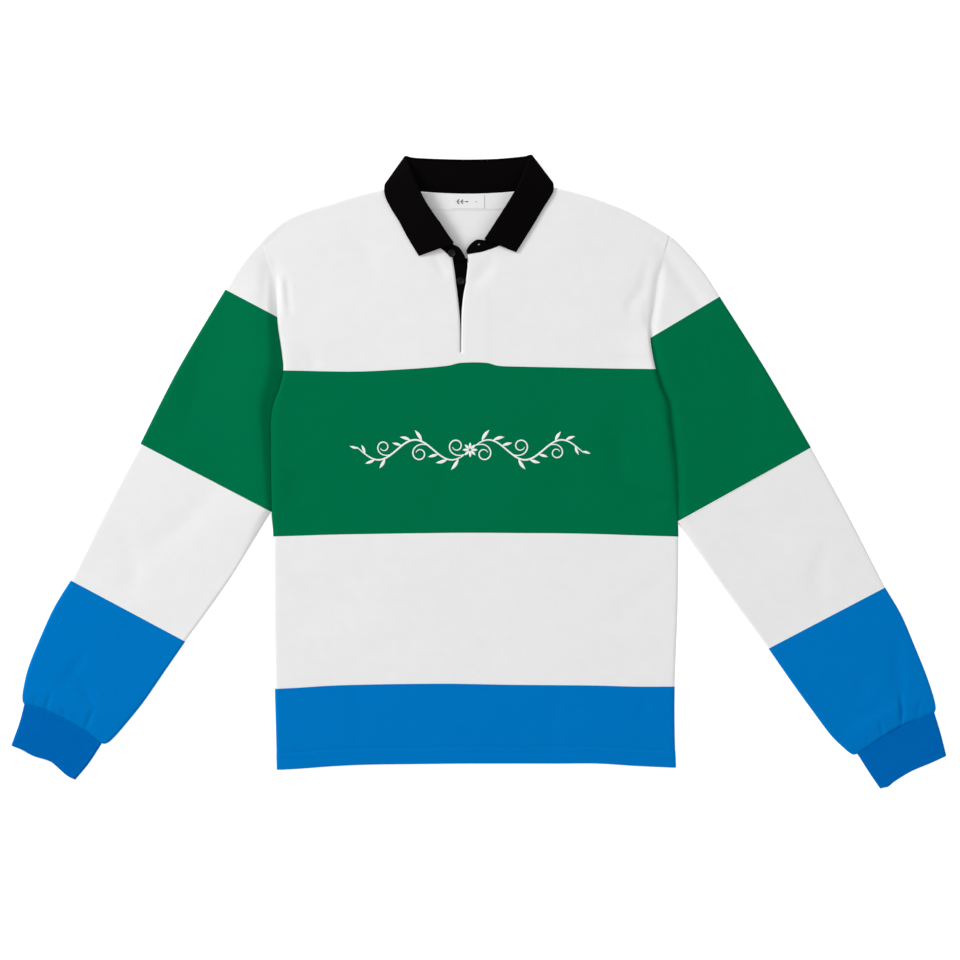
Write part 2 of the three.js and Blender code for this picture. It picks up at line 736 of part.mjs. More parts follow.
function sleeveRow(inner, outer, bow, edgeMid, ring, thick, topMid = SLEEVE_MID) {
  const [ix, iy] = inner;
  const [ox, oy] = outer;
  const length = Math.hypot(ox - ix, oy - iy);
  const [dx, dy] = [(ox - ix) / length, (oy - iy) / length];
  const up = dx < 0 ? [dy, -dx] : [-dy, dx];
  const low = thick / 2;
  const heightAt = (distance, x, y) => {
    const dipped = ease(distance / Math.min(ARMHOLE_DIP, length));
    return mix(edgeMid, topMid + folds(x, y), dipped);
  };
  const place = (distance) => {
    const share = clamp(distance / length);
    const lift = bow * 4 * share * (1 - share);
    return [ix + dx * distance + up[0] * lift, iy + dy * distance + up[1] * lift];
  };
  const outerTop = heightAt(length, ...place(length));
  const outerRoll = rollOf(low, outerTop, thick);
  const innerRoll = rollOf(low, edgeMid, thick);
  const from = ring ? innerRoll.reach + thick / 2 : 0;
  const to = length - outerRoll.reach - thick / 2;
  const row = [];
  for (const share of SLEEVE_SHARES) {
    const distance = mix(from, to, share);
    const [x, y] = place(distance);
    row.push(point(x, y, heightAt(distance, x, y)));
  }
  for (const angle of [...ROLL_ANGLES].reverse()) {
    const [x, y] = place(to + outerRoll.reach * Math.cos(angle));
    row.push(point(x, y, low + outerRoll.rise * (1 + Math.sin(angle))));
  }
  for (const share of SLEEVE_BACK_SHARES) {
    const [x, y] = place(mix(from, to, share));
    row.push(point(x, y, low));
  }
  if (ring) {
    for (const angle of ROLL_ANGLES) {
      const [x, y] = place(from - innerRoll.reach * Math.cos(angle));
      row.push(point(x, y, low + innerRoll.rise * (1 + Math.sin(angle))));
    }
  }
  return row;
}

function sleeve(sideName) {
  const side = sideName === "left" ? -1 : 1;
  const shape = SLEEVES[sideName];
  const clear = (armhole, gap) => [armhole[0] + side * gap, armhole[1]];
  const edgeMid = (y) => mix(ARMHOLE_MID, ARMHOLE_SOFT_MID, softness(side, y));

  // Cap, from the shoulder point down to the stripe
  const capRows = [];
  for (let i = YOKE_ROWS.length - 1; i >= STRIPE_ROW; i--) {
    const inner = armholePoint(side, "yoke", i);
    const k = YOKE_ROWS.length - 1 - i;
    const outer = shape.cap[k];
    const gap = k === 0 ? CAP_TIP_GAP : SEAM;
    const lift = k === shape.cap.length - 1 ? SEAM / 2 : 0;
    const from = clear([inner[0], inner[1] + lift], gap);
    const to = [outer[0] + (k === 0 ? side * CAP_TIP_GAP : 0), outer[1] + lift];
    capRows.push(sleeveRow(from, to, 0, edgeMid(inner[1]), false, JERSEY));
  }

  // Upper band, from the stripe to the underarm
  const knots = [];
  for (let i = STRIPE_ROW; i >= 0; i--) {
    if (i !== 1) knots.push(armholePoint(side, "yoke", i));
  }
  for (let i = CHEST_ROWS.length - 3; i >= UNDERARM_ROW; i--) {
    knots.push(armholePoint(side, "chest", i));
  }
  const run = [0];
  for (let k = 1; k < knots.length; k++) {
    const gone = Math.hypot(knots[k][0] - knots[k - 1][0], knots[k][1] - knots[k - 1][1]);
    run.push(run[k - 1] + gone);
  }
  const upperFold = [shape.cap.at(-1), shape.upper, shape.lines[0].slice(0, 2)];
  const upperRows = knots.map((inner, k) => {
    const outer = along(upperFold, run[k] / run.at(-1));
    const lift = k === 0 ? -SEAM / 2 : k === knots.length - 1 ? SEAM / 2 : 0;
    const from = clear([inner[0], inner[1] + lift], SEAM);
    return sleeveRow(from, [outer[0], outer[1] + lift], 0, edgeMid(inner[1]), false, JERSEY);
  });

  // Lower band, wrist band and cuff are tubes between the lines across the sleeve
  const last = shape.lines.length - 1;
  const tube = (lines, from, to, steps, thick, dipAt) => {
    const rows = [];
    for (const share of steps) {
      const place = mix(from, to, share) / (lines.length - 1);
      const [ox, oy, ix, iy, bow] = along(lines, place);
      const dip = dipAt(share);
      const topMid = thick === JERSEY ? SLEEVE_MID : thick / 2 + CUFF_RISE;
      rows.push(sleeveRow([ix, iy], [ox, oy], bow, topMid - dip, true, thick, topMid));
    }
    return rows;
  };
  const ends = 0.002;
  const lowerSteps = [ends, 0.04, 0.25, 0.5, 0.75, 1 - ends];
  const underarmDip = (share) => UNDERARM_DIP * (1 - ease(share / UNDERARM_FADE));
  const lowerRows = tube(shape.lines, 0, 2, lowerSteps, JERSEY, underarmDip);
  const wristSteps = [ends, 0.2, 0.4, 0.56, 0.7, 0.82, 0.92, 1 - ends];
  const wristRows = tube(shape.lines, 2, last, wristSteps, JERSEY, () => 0);
  const cuffSteps = [0.006, 0.12, 0.5, 0.88, 1];
  const cuffRows = tube(shape.cuff, 0, 2, cuffSteps, CUFF_RIB, () => 0);

  return [
    wall(`sleeve_${sideName}_cap`, capRows, even(JERSEY), "white"),
    wall(`sleeve_${sideName}_upper_band`, upperRows, even(JERSEY), "green"),
    wall(`sleeve_${sideName}_lower_band`, lowerRows, even(JERSEY), "white", { ring: true }),
    wall(`sleeve_${sideName}_wrist_band`, wristRows, even(JERSEY), "blue", { ring: true }),
    wall(`sleeve_${sideName}_cuff`, cuffRows, even(CUFF_RIB), "cuff", { ring: true }),
  ];
}

// The collar: a stand from the neck seam to the roll, and a leaf that falls from the roll
const COLLAR_ROLL = 1.5;
const STAND_BOW = 1.3;

function collarStations() {
  const stations = COLLAR.map((row) => ({
    seam: point(...row.slice(0, 3)),
    roll: point(...row.slice(3, 6)),
    edge: point(...row.slice(6, 9)),
  }));
  stations.forEach((station, k) => {
    const before = stations[Math.max(k - 1, 0)];
    const after = stations[Math.min(k + 1, stations.length - 1)];
    const seamRun = after.seam.clone().sub(before.seam).normalize();
    const rollRun = after.roll.clone().sub(before.roll).normalize();
    const rise = station.roll.clone().sub(station.seam).normalize();
    station.rise = rise;
    station.out = rise.clone().cross(seamRun.add(rollRun)).normalize();
  });
  return stations;
}

// Points up the stand, bowed a little towards the neck
function standRow(seam, top, out) {
  return [0, 0.14, 0.4, 0.7, 1].map((share) => {
    const bow = STAND_BOW * Math.sin(Math.PI * Math.pow(share, 0.7));
    return seam.clone().lerp(top, share).addScaledVector(out, -bow);
  });
}

function collar() {
  const stations = collarStations();
  const short = COLLAR_ROLL + COLLAR_RIB / 2;
  const standRows = stations.map(({ seam, roll, rise, out }) => {
    // The stand stops short of the leaf's turn, and further where the collar stands up steeply
    const apart = SEAM * (2 + 4 * (1 - Math.abs(out.z)));
    const top = roll.clone().addScaledVector(rise, -short - apart);
    return standRow(seam, top, out);
  });
  const up = point(0, 0, -0.3);
  const endRow = ([sx, sy, sz, tx, ty, tz]) => standRow(point(sx, sy, sz), point(tx, ty, tz), up);
  const leftEnd = STAND_LEFT_END.map(endRow);
  const rightEnd = STAND_RIGHT_END.map(endRow).reverse();
  const stand = wall("collar_stand", [...leftEnd, ...standRows, ...rightEnd], even(COLLAR_RIB), "black");

  const leafRows = stations.map(({ roll, edge, rise, out }) => {
    const base = roll.clone().addScaledVector(rise, -short);
    const row = [-90, -45, 0, 45, 90].map((degrees) => {
      const angle = (degrees * Math.PI) / 180;
      const turn = base.clone().addScaledVector(rise, COLLAR_ROLL * Math.cos(angle));
      return turn.addScaledVector(out, COLLAR_ROLL * (1 + Math.sin(angle)));
    });
    const start = row.at(-1);
    for (const share of [0.2, 0.45, 0.72, 1]) row.push(start.clone().lerp(edge, share));
    return row;
  });
  const leaf = wall("collar_leaf", leafRows, even(COLLAR_RIB), "black");
  return [stand, leaf];
}

// The black button band that shows in the slit
function buttonBand() {
  const left = smooth(BAND_UNDER, 1);
  const right = smooth(BAND_UNDER, 2);
  const heights = [128, 160, 192, 225, 257];
  const sheet = heights.map((y) =>
    [0, 0.35, 0.7, 1].map((share) => point(mix(left(y), right(y), share), y, BAND_MID)),
  );
  return wall("placket_button_band", sheet, even(BUTTON_BAND), "black");
}

function neckLabel() {
  const [left, right, bottom, top] = LABEL_BOX;
  const z = JERSEY + SEAM + LABEL / 2;
  const sheet = [bottom, (bottom + top) / 2, top].map((y) =>
    [left, (left + right) / 2, right].map((x) => point(x, y, z)),
  );
  return wall("neck_label", sheet, even(LABEL), "label");
}

// A round rubber button with a raised rim and a dished middle
function button(name, [x, y, z], tilt = [0, 0, 1]) {
  const r = BUTTON_RADIUS;
  const t = BUTTON_THICK;
  const profile = [
    [0, 0],
    [r - BUTTON_EDGE, 0],
    [r, BUTTON_EDGE],
    [r, t - BUTTON_EDGE],
    [r - BUTTON_EDGE, t],
    [r - BUTTON_RIM, t],
    [r - BUTTON_RIM - BUTTON_DISH, t - BUTTON_DISH],
    [0, t - BUTTON_DISH],
  ];
  const outline = profile.map(([radius, height]) => new THREE.Vector2(radius, height));
  const geometry = new THREE.LatheGeometry(outline, BUTTON_SIDES);
  geometry.rotateX(Math.PI / 2);
  const finish = { color: COLOURS.rubber, roughness: 0.5, metalness: 0 };
  const mesh = new THREE.Mesh(geometry, new THREE.MeshStandardMaterial(finish));
  mesh.position.set(x, y, z);
  mesh.quaternion.setFromUnitVectors(point(0, 0, 1), point(...tilt).normalize());
  mesh.name = name;
  return mesh;
}

const shirt = new THREE.Group();
shirt.name = "rugby_shirt";
shirt.add(frontPanel("front_hem_band", BANDS.hem, "blue", hemThickness));
shirt.add(frontPanel("front_waist_band", BANDS.waist, "white"));
shirt.add(frontPanel("front_chest_band", BANDS.chest, "green"));
shirt.add(frontPanel("front_yoke", BANDS.yoke, "white", () => JERSEY, true));
shirt.add(backPanel("hem", "blue", hemThickness));
shirt.add(backPanel("waist", "white"));
shirt.add(backPanel("chest", "green"));
shirt.add(backYoke());
shirt.add(...sleeve("left"), ...sleeve("right"));
shirt.add(...collar());
shirt.add(buttonBand(), neckLabel());
shirt.add(button("button_neck", BUTTON_NECK, BUTTON_NECK_TILT));
shirt.add(button("button_placket", BUTTON_PLACKET));

export default shirt;
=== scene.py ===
# %% [markdown]
# # A rugby shirt, laid flat
# A rugby shirt is cut from heavy cotton jersey in broad bands, with a black rib collar and rib cuffs.
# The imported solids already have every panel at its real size. Here each panel becomes a fine, soft
# shell on the same form, with the creases, seams, stitches and knit that the coarse solids leave out.

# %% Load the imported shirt
import math
import bpy
import numpy as np
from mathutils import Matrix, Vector, kdtree


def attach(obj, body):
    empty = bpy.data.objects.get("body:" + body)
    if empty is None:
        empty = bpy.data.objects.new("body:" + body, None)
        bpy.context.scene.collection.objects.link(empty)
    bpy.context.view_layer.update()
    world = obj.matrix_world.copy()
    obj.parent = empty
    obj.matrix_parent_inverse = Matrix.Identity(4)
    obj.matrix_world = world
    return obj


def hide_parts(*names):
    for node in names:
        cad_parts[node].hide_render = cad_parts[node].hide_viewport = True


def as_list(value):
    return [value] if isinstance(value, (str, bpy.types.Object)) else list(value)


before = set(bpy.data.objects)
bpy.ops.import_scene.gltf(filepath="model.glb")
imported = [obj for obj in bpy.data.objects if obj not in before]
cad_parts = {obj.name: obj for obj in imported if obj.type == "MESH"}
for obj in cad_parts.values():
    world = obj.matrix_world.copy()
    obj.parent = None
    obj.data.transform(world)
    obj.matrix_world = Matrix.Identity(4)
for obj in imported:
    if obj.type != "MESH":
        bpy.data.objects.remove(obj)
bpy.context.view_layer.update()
scene = bpy.context.scene

# %% [markdown]
# ## Sizes
# The shirt is drawn in millimetres, as a cutter would, and turned to metres when a mesh is made.
# Cloth is a wall: a sheet of middle points with half its thickness on either side.

# %% Thicknesses and heights
MM = 0.001
JERSEY = 1.4
HEM_FOLD = 2.2
CUFF_RIB = 1.7
COLLAR_RIB = 1.6
BUTTON_BAND = 1.3
LABEL = 0.6
BACK_MID = JERSEY / 2
FRONT_MID = 4.4
SLEEVE_MID = 4.2
SIDE_MID = (BACK_MID + FRONT_MID) / 2
CUFF_SEAM_MID = 3.4
CUFF_EDGE_MID = 4.1
ROLL = 3.0
ARMHOLE_MID = 1.9
ARMHOLE_FADE = 125
PUFF_WIDTH = 48
TUCK = 0.6
HEM_TURN = 20.0

# %% [markdown]
# ## Outlines
# The garment's outline is kept in short tables. Each row is one height or one place across, and a
# smooth curve runs through the rows, so that a few numbers give the whole edge.

# %% Outline tables
# Side outline of the body: height, left edge, right edge
SIDES = [
    [-358, -242.5, 236.5],
    [-315, -243.5, 235.0],
    [-257, -245.0, 235.0],
    [-160, -246.8, 238.5],
    [-77, -247.0, 239.5],
    [-50, -249.0, 238.5],
    [9, -250.0, 235.5],
    [40, -250.3, 231.5],
    [63, -250.3, 228.5],
    [82, -247.0, 227.0],
    [102, -239.5, 218.5],
    [123, -235.0, 212.5],
    [142, -236.5, 208.5],
    [159, -239.0, 206.0],
    [176, -241.5, 205.5],
    [201, -243.0, 209.5],
    [231, -246.0, 213.5],
    [250, -252.0, 218.5],
    [281, -261.0, 227.0],
]
# Seams across the body: x, hem edge, hem band top, waist band top, chest band top
SEAMS = [
    [-250, -357.5, -260.0, -77.0, 122.5],
    [-216, -355.7, -258.3, -76.0, 122.0],
    [-180, -353.0, -256.0, -74.8, 121.2],
    [-139, -351.0, -254.7, -74.0, 121.2],
    [-86, -350.2, -253.8, -73.2, 124.0],
    [-52, -349.8, -253.5, -72.8, 126.5],
    [-35, -349.6, -253.5, -72.6, 128.5],
    [-22, -349.5, -253.7, -72.5, 131.5],
    [9, -349.5, -254.3, -72.5, 131.5],
    [23, -349.5, -254.6, -72.6, 128.0],
    [47, -349.5, -254.9, -72.8, 127.0],
    [95, -349.5, -255.3, -73.1, 126.0],
    [143, -349.5, -255.8, -74.0, 125.0],
    [188, -352.3, -257.0, -75.5, 124.2],
    [240, -354.7, -257.0, -77.0, 123.5],
]
# Top edge of the front yoke, in three runs: shoulder seam, neckline, shoulder seam
FRONT_TOP_LEFT = [
    [-262, 269.5],
    [-222, 299.0],
    [-207, 302.5],
    [-188, 304.5],
    [-154, 309.5],
    [-130, 311.5],
    [-90, 311.5],
]
FRONT_NECK = [
    [-90, 311.5],
    [-81.5, 297.0],
    [-69.5, 283.5],
    [-56.5, 274.0],
    [-45, 268.0],
    [-32, 258.0],
    [-14, 261.5],
    [5, 265.0],
    [25.5, 272.5],
    [45.5, 286.0],
    [57.5, 298.0],
    [66, 319.5],
]
FRONT_TOP_RIGHT = [
    [66, 319.5],
    [107, 321.5],
    [131, 322.5],
    [150, 316.0],
    [169, 306.0],
    [193, 298.0],
    [211, 287.0],
    [228, 275.5],
]
# Fold along the top of each shoulder, and the back neckline between them
SHOULDER_LEFT = [
    [-261, 279.5],
    [-252, 288.5],
    [-234, 303.0],
    [-207, 315.0],
    [-176, 324.0],
    [-153, 331.5],
    [-123, 339.0],
    [-98.5, 343.5],
]
SHOULDER_RIGHT = [
    [74.5, 345.0],
    [105, 339.0],
    [132, 331.5],
    [152, 324.5],
    [170, 317.5],
    [186, 310.0],
    [211, 295.5],
    [227, 285.5],
]
BACK_NECK = [
    [-99.8, 340.0],
    [-88, 338.0],
    [-70, 336.5],
    [-40, 335.0],
    [-10, 334.5],
    [20, 335.5],
    [50, 337.5],
    [65, 339.5],
    [75.3, 341.4],
]
# Slit of the placket: height, left edge, right edge
SLIT = [
    [110, -22.1, -21.3],
    [144, -22.1, -21.3],
    [177, -22.5, -21.0],
    [193, -23.6, -20.6],
    [210, -25.3, -19.0],
    [226, -27.3, -16.2],
    [240, -29.0, -14.4],
    [248, -30.2, -13.6],
    [262, -32.4, -13.8],
]
SLIT_BOTTOM = 143.5
FACING_RIGHT = 12.0
NECK_LEFT = -90
NECK_RIGHT = 66
POINT_LEFT = -98.5
POINT_RIGHT = 74.5
# Where the sleeve's stripe and the underarm meet the armhole, as shares of the yoke and chest band
STRIPE_SHARE = {"left": 0.392, "right": 0.222}
UNDERARM_SHARE = {"left": 0.148, "right": 0.09}

# %% Sleeve tables
# The fold over the cap, the fold halfway down the upper band, and lines across the sleeve, each as
# outer x, y, inner x, y and upward bow. Waves are share of the width from its inner end, and rise.
# Slope is how the sleeve rises beside the body: height, width of the slope, extra puff at its top.
CAP_SHARES = {"left": [1, 0.85, 0.7, 0.55, 0.392], "right": [1, 0.81, 0.62, 0.42, 0.222]}
SLEEVES = {
    "left": {
        "cap": [[-260.6, 279.2], [-269.0, 270.5], [-281.0, 256.5], [-293.0, 239.5], [-304.5, 219.5]],
        "upper": [-361.0, 124.0],
        "lower": [
            [-406.5, 34.5, -249.6, -47.4, 0],
            [-448.5, -45.0, -299.5, -129.0, 0],
            [-490.0, -129.5, -352.5, -203.0, 0],
        ],
        "wrist": [
            [-490.0, -129.5, -352.5, -203.0, 0],
            [-510.0, -162.0, -377.0, -238.5, 0],
            [-527.0, -199.0, -402.5, -275.5, 1],
            [-541.0, -234.0, -425.0, -303.5, 3],
            [-547.3, -260.0, -438.5, -319.0, 5.5],
            [-548.6, -272.0, -446.5, -325.6, 8],
            [-546.8, -279.0, -452.6, -325.9, 0],
        ],
        "cuff": [
            [-546.3, -278.5, -452.6, -324.8, 0],
            [-552.2, -302.0, -468.2, -348.6, 0],
            [-561.5, -328.3, -483.5, -366.7, 0],
        ],
        "seam_wave": [[0, 0], [0.14, 4.3], [0.24, 7.0], [0.49, 8.7], [0.73, 7.9], [0.87, 5.4], [1, 0]],
        "edge_wave": [[0, 0], [0.03, -2.4], [0.14, -2.1], [0.28, 1.2], [0.42, 4.0], [0.67, 0.9], [0.87, 1.5], [1, 0]],
        "slope": [
            [-60, 8, 2.0], [-41, 8, 2.4], [-5, 11, 3.6], [51, 16, 5.4], [87, 20, 6.6],
            [123, 23, 7.2], [147, 20, 6.6], [180, 16, 5.0], [215, 14, 1.8], [245, 12, 0], [290, 12, 0],
        ],
    },
    "right": {
        "cap": [[227.2, 284.8], [235.5, 279.0], [252.5, 261.5], [271.5, 238.5], [289.0, 211.0]],
        "upper": [344.5, 123.0],
        "lower": [
            [398.5, 30.0, 239.0, -61.0, 0],
            [443.0, -51.0, 293.0, -137.5, 0],
            [487.5, -138.0, 347.5, -211.5, 0],
        ],
        "wrist": [
            [487.5, -138.0, 347.5, -211.5, 0],
            [507.0, -171.0, 372.5, -247.5, 0],
            [522.5, -207.0, 399.5, -285.0, 1],
            [536.5, -241.5, 422.0, -315.0, 2],
            [545.5, -268.0, 437.5, -330.5, 4],
            [548.6, -282.0, 447.5, -338.5, 5],
            [547.0, -287.9, 454.4, -338.9, 0],
        ],
        "cuff": [
            [546.5, -287.4, 454.5, -338.2, 0],
            [554.3, -313.0, 468.2, -360.0, 0],
            [561.1, -340.3, 481.3, -378.7, 0],
        ],
        "seam_wave": [
            [0, 0], [0.05, 2.5], [0.15, 3.7], [0.32, 6.2], [0.47, 8.2],
            [0.62, 7.9], [0.73, 4.4], [0.79, 2.2], [0.88, 1.5], [1, 0],
        ],
        "edge_wave": [[0, 0], [0.1, -2.8], [0.2, -0.8], [0.3, 0.4], [0.49, 1.7], [0.75, 0.5], [1, 0]],
        "slope": [
            [-70, 14, 0.0], [0, 17, 0.4], [87, 18, 0.4], [123, 16, 0.4], [160, 14, 0.2], [180, 18, 0],
            [210, 22, 0], [290, 20, 0],
        ],
    },
}

# %% Collar, band, label and button tables
# Collar: neck seam x, y, z; roll x, y, z; edge of the leaf x, y, z, from front left to front right
COLLAR = [
    [-44.7, 268.4, 4.7, -29.5, 275.5, 8.5, -72.0, 259.5, 6.6],
    [-56.2, 274.4, 4.7, -36.5, 285.0, 10.0, -78.5, 270.0, 6.6],
    [-69.2, 283.9, 4.7, -45.5, 298.5, 11.5, -86.5, 283.5, 6.6],
    [-81.1, 297.3, 4.7, -55.5, 312.5, 12.5, -95.5, 300.5, 6.6],
    [-89.4, 311.8, 4.7, -65.5, 328.5, 12.5, -104.5, 315.0, 6.6],
    [-92.8, 326.0, 4.7, -74.5, 348.0, 11.5, -111.5, 328.5, 6.6],
    [-95.6, 337.0, 4.2, -82.5, 367.5, 9.5, -113.6, 338.0, 6.4],
    [-97.0, 342.4, 2.6, -86.4, 378.6, 7.6, -112.0, 346.5, 3.8],
    [-92.0, 341.0, 1.4, -81.0, 377.8, 7.2, -103.0, 348.0, 1.5],
    [-80.0, 338.6, 1.0, -70.0, 376.8, 7.0, -88.0, 347.0, 0.9],
    [-50.0, 336.3, 1.0, -45.0, 375.8, 6.8, -53.0, 345.6, 0.8],
    [-12.0, 335.2, 1.0, -12.5, 375.2, 6.8, -12.0, 345.0, 0.8],
    [25.0, 336.5, 1.0, 20.0, 376.0, 6.8, 27.0, 345.8, 0.8],
    [56.0, 339.3, 1.0, 45.0, 378.0, 7.0, 64.0, 347.8, 0.9],
    [68.5, 342.3, 1.4, 55.5, 379.2, 7.2, 79.0, 349.5, 1.5],
    [72.9, 343.9, 2.6, 60.9, 380.0, 7.6, 88.0, 348.0, 3.8],
    [71.0, 338.5, 4.2, 56.5, 368.5, 9.5, 89.6, 340.0, 6.4],
    [68.0, 328.5, 4.7, 48.0, 347.5, 11.5, 87.0, 332.5, 6.6],
    [65.4, 319.8, 4.7, 38.5, 330.5, 12.5, 79.0, 320.0, 6.6],
    [57.0, 298.4, 4.7, 28.5, 314.5, 12.5, 69.5, 304.0, 6.6],
    [45.2, 286.5, 4.7, 19.5, 300.5, 11.5, 60.0, 288.5, 6.6],
    [36.0, 280.1, 4.7, 12.0, 289.0, 10.0, 51.5, 275.0, 6.6],
    [25.2, 273.0, 4.7, 6.0, 280.0, 8.5, 44.5, 264.0, 6.6],
]
# Ends of the stand past the leaf: neck seam x, y, z; top edge x, y, z
STAND_LEFT_END = [
    [-27.0, 254.8, 5.2, -14.5, 253.0, 5.9],
    [-31.4, 258.4, 5.0, -18.0, 261.5, 6.3],
    [-38.3, 263.8, 4.8, -24.0, 270.0, 7.3],
]
STAND_RIGHT_END = [
    [4.9, 265.6, 4.8, -2.0, 279.2, 6.9],
    [-4.0, 263.9, 4.9, -8.5, 275.5, 6.2],
    [-12.0, 262.6, 5.0, -12.8, 270.5, 5.8],
    [-14.6, 262.9, 5.0, -15.2, 266.0, 5.5],
]
COLLAR_ROLL = 1.5
STAND_BOW = 1.3
# Button band under the slit: height, left edge, right edge
BAND_UNDER = [[128, -30, 4], [200, -34, 2], [257, -39, -3]]
BAND_MID = 2.55
LABEL_BOX = [-32.5, 6.5, 316.5, 333.0]
NECK_FACING = 0.45
NECK_FACING_TALL = 20
BUTTONS = {
    "button_neck": {"at": [-32.4, 262.8, 7.1], "tilt": [-0.12, -0.12, 1]},
    "button_placket": {"at": [-21.9, 229.7, 3.6], "tilt": [0, 0, 1]},
}
BUTTON_RADIUS = 4.6
BUTTON_THICK = 2.4

# %% [markdown]
# ## Creases
# Cloth that has been pressed and laid out keeps a few soft creases: at the armholes, where the sleeve
# was turned down, and at the wrists, where the width is eased into the cuff. Each one is a trough or a
# ridge along a line. It has one half width on each side of its way, because a crease in real cloth
# leans, and it fades at both ends.

# %% Crease tables
# Rise in mm (less than nothing is a trough), half width to the left and to the right of its way, and
# then the points x, y that it runs through
CREASES = [
    # Left armhole: the sleeve turns down beside the body
    [-2.1, 5, 10, -248.3, 254, -243.5, 236, -242.3, 207, -241.7, 183],
    [-1.2, 4, 3, -240.3, 246, -231.5, 228.5, -229.7, 207, -227.5, 192],
    [0.8, 5, 5, -238, 240, -236.5, 215, -234, 192],
    [-1.0, 6, 7, -256, 250, -257, 222, -258, 192],
    # Right armhole: one deep crease, one shallow one, and the drop of the shoulder
    [-2.2, 4, 5, 218.9, 250, 214.9, 236, 212, 212, 208.9, 188, 205, 176],
    [-1.0, 3, 3, 205, 176, 211, 167],
    [-1.0, 9, 6, 201.7, 252, 195, 220, 182, 203, 180, 186],
    [-2.0, 9, 9, 212, 273, 219.7, 265, 229.3, 251, 247.3, 227, 261.7, 209, 268, 190],
    # Ridges that stand up along both side edges, and the troughs beside them
    [1.0, 12, 7, -229, 165, -227, 122, -238, 95, -241, 60, -241, 0, -240, -40],
    [3.5, 6, 24, 200, 172, 206, 130, 219, 92, 224, 50, 229, 0, 231, -36],
    [-1.0, 16, 12, -221, 3, -215, -39],
    [-2.1, 14, 12, 160.9, 42, 170, 10, 179, -15],
    [-1.9, 9, 10, 178, -14, 206.5, -32, 227, -40],
    # Yoke: over the stripe's seam, under the collar and beside the slit
    [-1.0, 8, 8, 165.7, 137, 188, 133, 208, 128],
    [-0.8, 7, 7, -208.7, 145, -191, 129],
    [-1.1, 5, 5, -56, 260, -39.5, 235],
    [-1.1, 9, 8, -10.7, 226, 3.7, 236, 15.7, 257],
    [-0.6, 8, 12, -150, 290, -132, 262, -126, 236],
    # Left sleeve: eased into the cuff
    [-0.9, 16, 14, -330, 150, -340, 96, -352, 52],
    [-0.8, 12, 15, -318, -20, -352, -62, -398, -92],
    [-0.8, 10, 14, -430, -70, -412, -112, -420, -150],
    [1.6, 30, 10, -540, -262, -500, -279, -472, -290, -445, -308],
    [-1.7, 7, 7, -484.7, -247, -472, -262, -460.7, -281],
    [-1.2, 2.6, 2.2, -519.5, -289, -518, -278, -514, -266],
    [-1.2, 3.4, 2.6, -473, -310, -467, -296, -463, -284],
    [-0.6, 3, 3, -497, -297, -499, -282],
    [-0.5, 3, 3, -535, -284, -531, -268],
    [-0.9, 8, 8, -470, -212, -492, -246, -500, -262],
    # Right sleeve
    [-0.8, 14, 16, 330, 150, 322, 96, 330, 48],
    [-0.8, 14, 12, 300, -30, 342, -66, 398, -84],
    [-0.8, 12, 10, 420, -80, 404, -124, 412, -158],
    [1.5, 10, 30, 444, -319, 476, -300, 508, -282, 542, -272],
    [-2.6, 2.4, 3.0, 506.2, -266, 507.6, -284, 507.4, -303],
    [-1.4, 2.4, 2.4, 481, -300, 484.9, -316],
    [-1.3, 9, 9, 500, -205, 504, -240, 506, -270],
    [-1.0, 8, 8, 452, -245, 466, -268],
    [-0.6, 2.6, 3, 525, -299, 527, -284, 531, -272],
    [-0.5, 2.6, 2.6, 468, -330, 466, -314],
    # Body: long shallow ones left by folding
    [-0.5, 16, 12, -60, 100, -40, 20, -52, -60],
    [-0.4, 14, 18, 88, 90, 104, 20, 92, -50],
    [-0.6, 14, 14, -236, -110, -190, -150, -120, -168],
    [-0.5, 12, 16, 228, -120, 170, -176, 120, -190],
    [-0.5, 14, 10, -30, -150, 10, -198, 22, -240],
    [-0.5, 8, 8, -150, -262, -142, -296, -146, -330],
    [-0.5, 8, 10, 96, -262, 88, -300, 92, -334],
    [-0.5, 7, 7, 200, -268, 192, -300],
]
# The hidden underside, where a crease lifts the cloth off the table
UNDER_CREASES = [
    [0.7, 5, 8, -228, 236, -222, 204, -226, 170],
    [0.6, 8, 5, 196, 240, 190, 205, 196, 168],
    [0.5, 9, 9, -150, 300, -128, 262, -132, 220],
    [0.5, 8, 10, 120, 286, 104, 246, 110, 206],
    [0.6, 10, 8, -200, 60, -182, 8, -188, -40],
    [0.5, 9, 12, 186, 70, 170, 20, 178, -36],
    [0.5, 12, 10, -210, -120, -160, -160, -96, -170],
    [0.5, 10, 12, 206, -150, 150, -186, 92, -190],
    [0.6, 8, 8, -336, 120, -330, 70, -346, 30],
    [0.6, 8, 8, 322, 126, 330, 76, 322, 30],
    [0.6, 9, 9, -410, -84, -392, -124, -404, -168],
    [0.6, 9, 9, 414, -96, 400, -138, 410, -178],
    [0.8, 3, 3, -500, -258, -497, -290],
    [0.7, 3, 3, -524, -262, -521, -282],
    [0.7, 3, 3, -474, -282, -471, -304],
    [0.8, 3, 3, 497, -262, 499, -300],
    [0.7, 3, 3, 522, -268, 524, -292],
    [0.7, 3, 3, 474, -296, 478, -318],
]

# %% [markdown]
# ## Reading the tables
# Small readers turn the tables into curves: a smooth curve through a table and a smooth path.

# %% Curve readers
def mix(a, b, t):
    return a + (b - a) * t


def ease(t):
    t = np.clip(t, 0, 1)
    return t * t * (3 - 2 * t)


def unit(v):
    return v / (np.linalg.norm(v) + 1e-12)


def fall(t):
    """An even slope that levels out in its last part, as cloth does that lies over an edge."""
    t = np.clip(t, 0, 1)
    late = np.clip((t - 0.6) / 0.4, 0, 1)
    return (np.minimum(t, 0.6) + 0.4 * (late - late * late / 2)) / 0.8


